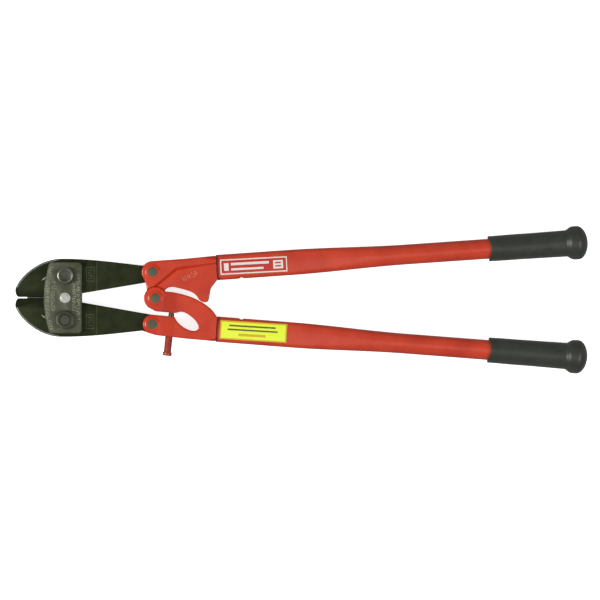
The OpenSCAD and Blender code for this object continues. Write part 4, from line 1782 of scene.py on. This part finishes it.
@dataclass
class Studio:
    """A pale floor, soft light and a camera looking straight down."""

    lens: float = 400.0
    sensor: float = 36.0
    view_width: float = 0.6396
    roll: float = -0.22
    aim_x: float = -0.0016
    aim_y: float = -0.0014
    mid_height: float = 0.018

    def floor(self) -> Solid:
        """Adds the floor."""
        work = bmesh.new()
        half = 3.0
        square = ((-half, -half), (half, -half), (half, half), (-half, half))
        work.faces.new([work.verts.new((x, y, 0)) for x, y in square])
        floor = from_bmesh("floor", work)
        graph = Graph("pale_floor")
        graph.shader.inputs["Base Color"].default_value = (0.92, 0.92, 0.92, 1.0)
        graph.shader.inputs["Emission Color"].default_value = (1.0, 1.0, 1.0, 1.0)
        graph.fix(Roughness=0.9, Emission_Strength=0.75)
        floor.data.materials.append(graph.material)
        floor.visible_glossy = False
        floor.visible_diffuse = False
        return floor

    def lamp(self, name: str, place: Vector, size: tuple[float, float], power: float) -> Solid:
        """Adds a rectangular lamp that faces the tool.

        Args:
            name: The lamp's name.
            place: Where it hangs.
            size: Its width and height.
            power: Its power in watts.
        """
        data = bpy.data.lights.new(name, "AREA")
        data.shape = "RECTANGLE"
        data.size, data.size_y = size
        data.energy = power
        lamp = bpy.data.objects.new(name, data)
        lamp.location = place
        lamp.rotation_euler = (Vector((0, 0, 0)) - place).to_track_quat("-Z", "Y").to_euler()
        bpy.context.scene.collection.objects.link(lamp)
        return lamp

    def camera(self) -> Solid:
        """Adds the camera and makes it the scene's own."""
        data = bpy.data.cameras.new("camera")
        data.lens, data.sensor_width = self.lens, self.sensor
        camera = bpy.data.objects.new("camera", data)
        distance = self.view_width * self.lens / self.sensor
        camera.location = (self.aim_x, self.aim_y, self.mid_height + distance)
        camera.rotation_euler = (0, 0, math.radians(-self.roll))
        data.clip_end = 20
        bpy.context.scene.collection.objects.link(camera)
        bpy.context.scene.camera = camera
        return camera

    def build(self) -> None:
        """Builds the floor, the lights, the sky and the camera."""
        self.floor()
        self.lamp("key", Vector((-1.5, -0.05, 1.2)), (0.6, 0.6), 24.0)
        self.lamp("fill", Vector((1.5, -0.3, 1.4)), (1.2, 1.0), 15.6)
        self.lamp("overhead", Vector((0.0, -0.4, 2.2)), (1.6, 1.2), 5.6)
        world = bpy.data.worlds.new("studio")
        world.use_nodes = True
        back = world.node_tree.nodes["Background"]
        back.inputs["Color"].default_value = (1.0, 1.0, 1.0, 1.0)
        back.inputs["Strength"].default_value = 0.25
        bpy.context.scene.world = world
        bpy.context.scene.view_settings.view_transform = "Standard"
        self.camera()


# ---------------------------------------------------------------- the tool


def build_head() -> None:
    """Builds the blades, the cover plates, their bolts and the badge."""
    for side in Side:
        Blade(side).build()
        BladeBolt(side).build()
    CoverPlate("front_side_plate", True).build()
    CoverPlate("rear_side_plate", False).build()
    Badge().build()


def build_handles() -> None:
    """Builds the adapters, pins, screw, tubes, grips and labels."""
    UpperAdapter(Side.UPPER).build()
    LowerAdapter(Side.LOWER).build()
    ScrewSet().build()
    PivotBolt("upper_link", Side.UPPER, LINK_BACK, LINK_OUT, ("upper_link_bolt", "upper_link_nut")).build()
    PivotBolt("lower_link", Side.LOWER, LINK_BACK, LINK_OUT, ("lower_link_bolt", "lower_link_nut")).build()
    PivotBolt("centre", Side.LOWER, 0.0, 0.0, ("centre_pivot_bolt", "centre_pivot_nut")).build()
    for side in Side:
        HandleTube(side).build()
        Grip(side).build()
    white_label().build()
    yellow_label().build()


def main() -> None:
    """Builds the studio and the tool."""
    logging.basicConfig(level=logging.INFO, format="%(message)s")
    Studio().build()
    build_head()
    build_handles()


if __name__ == "__main__":
    main()
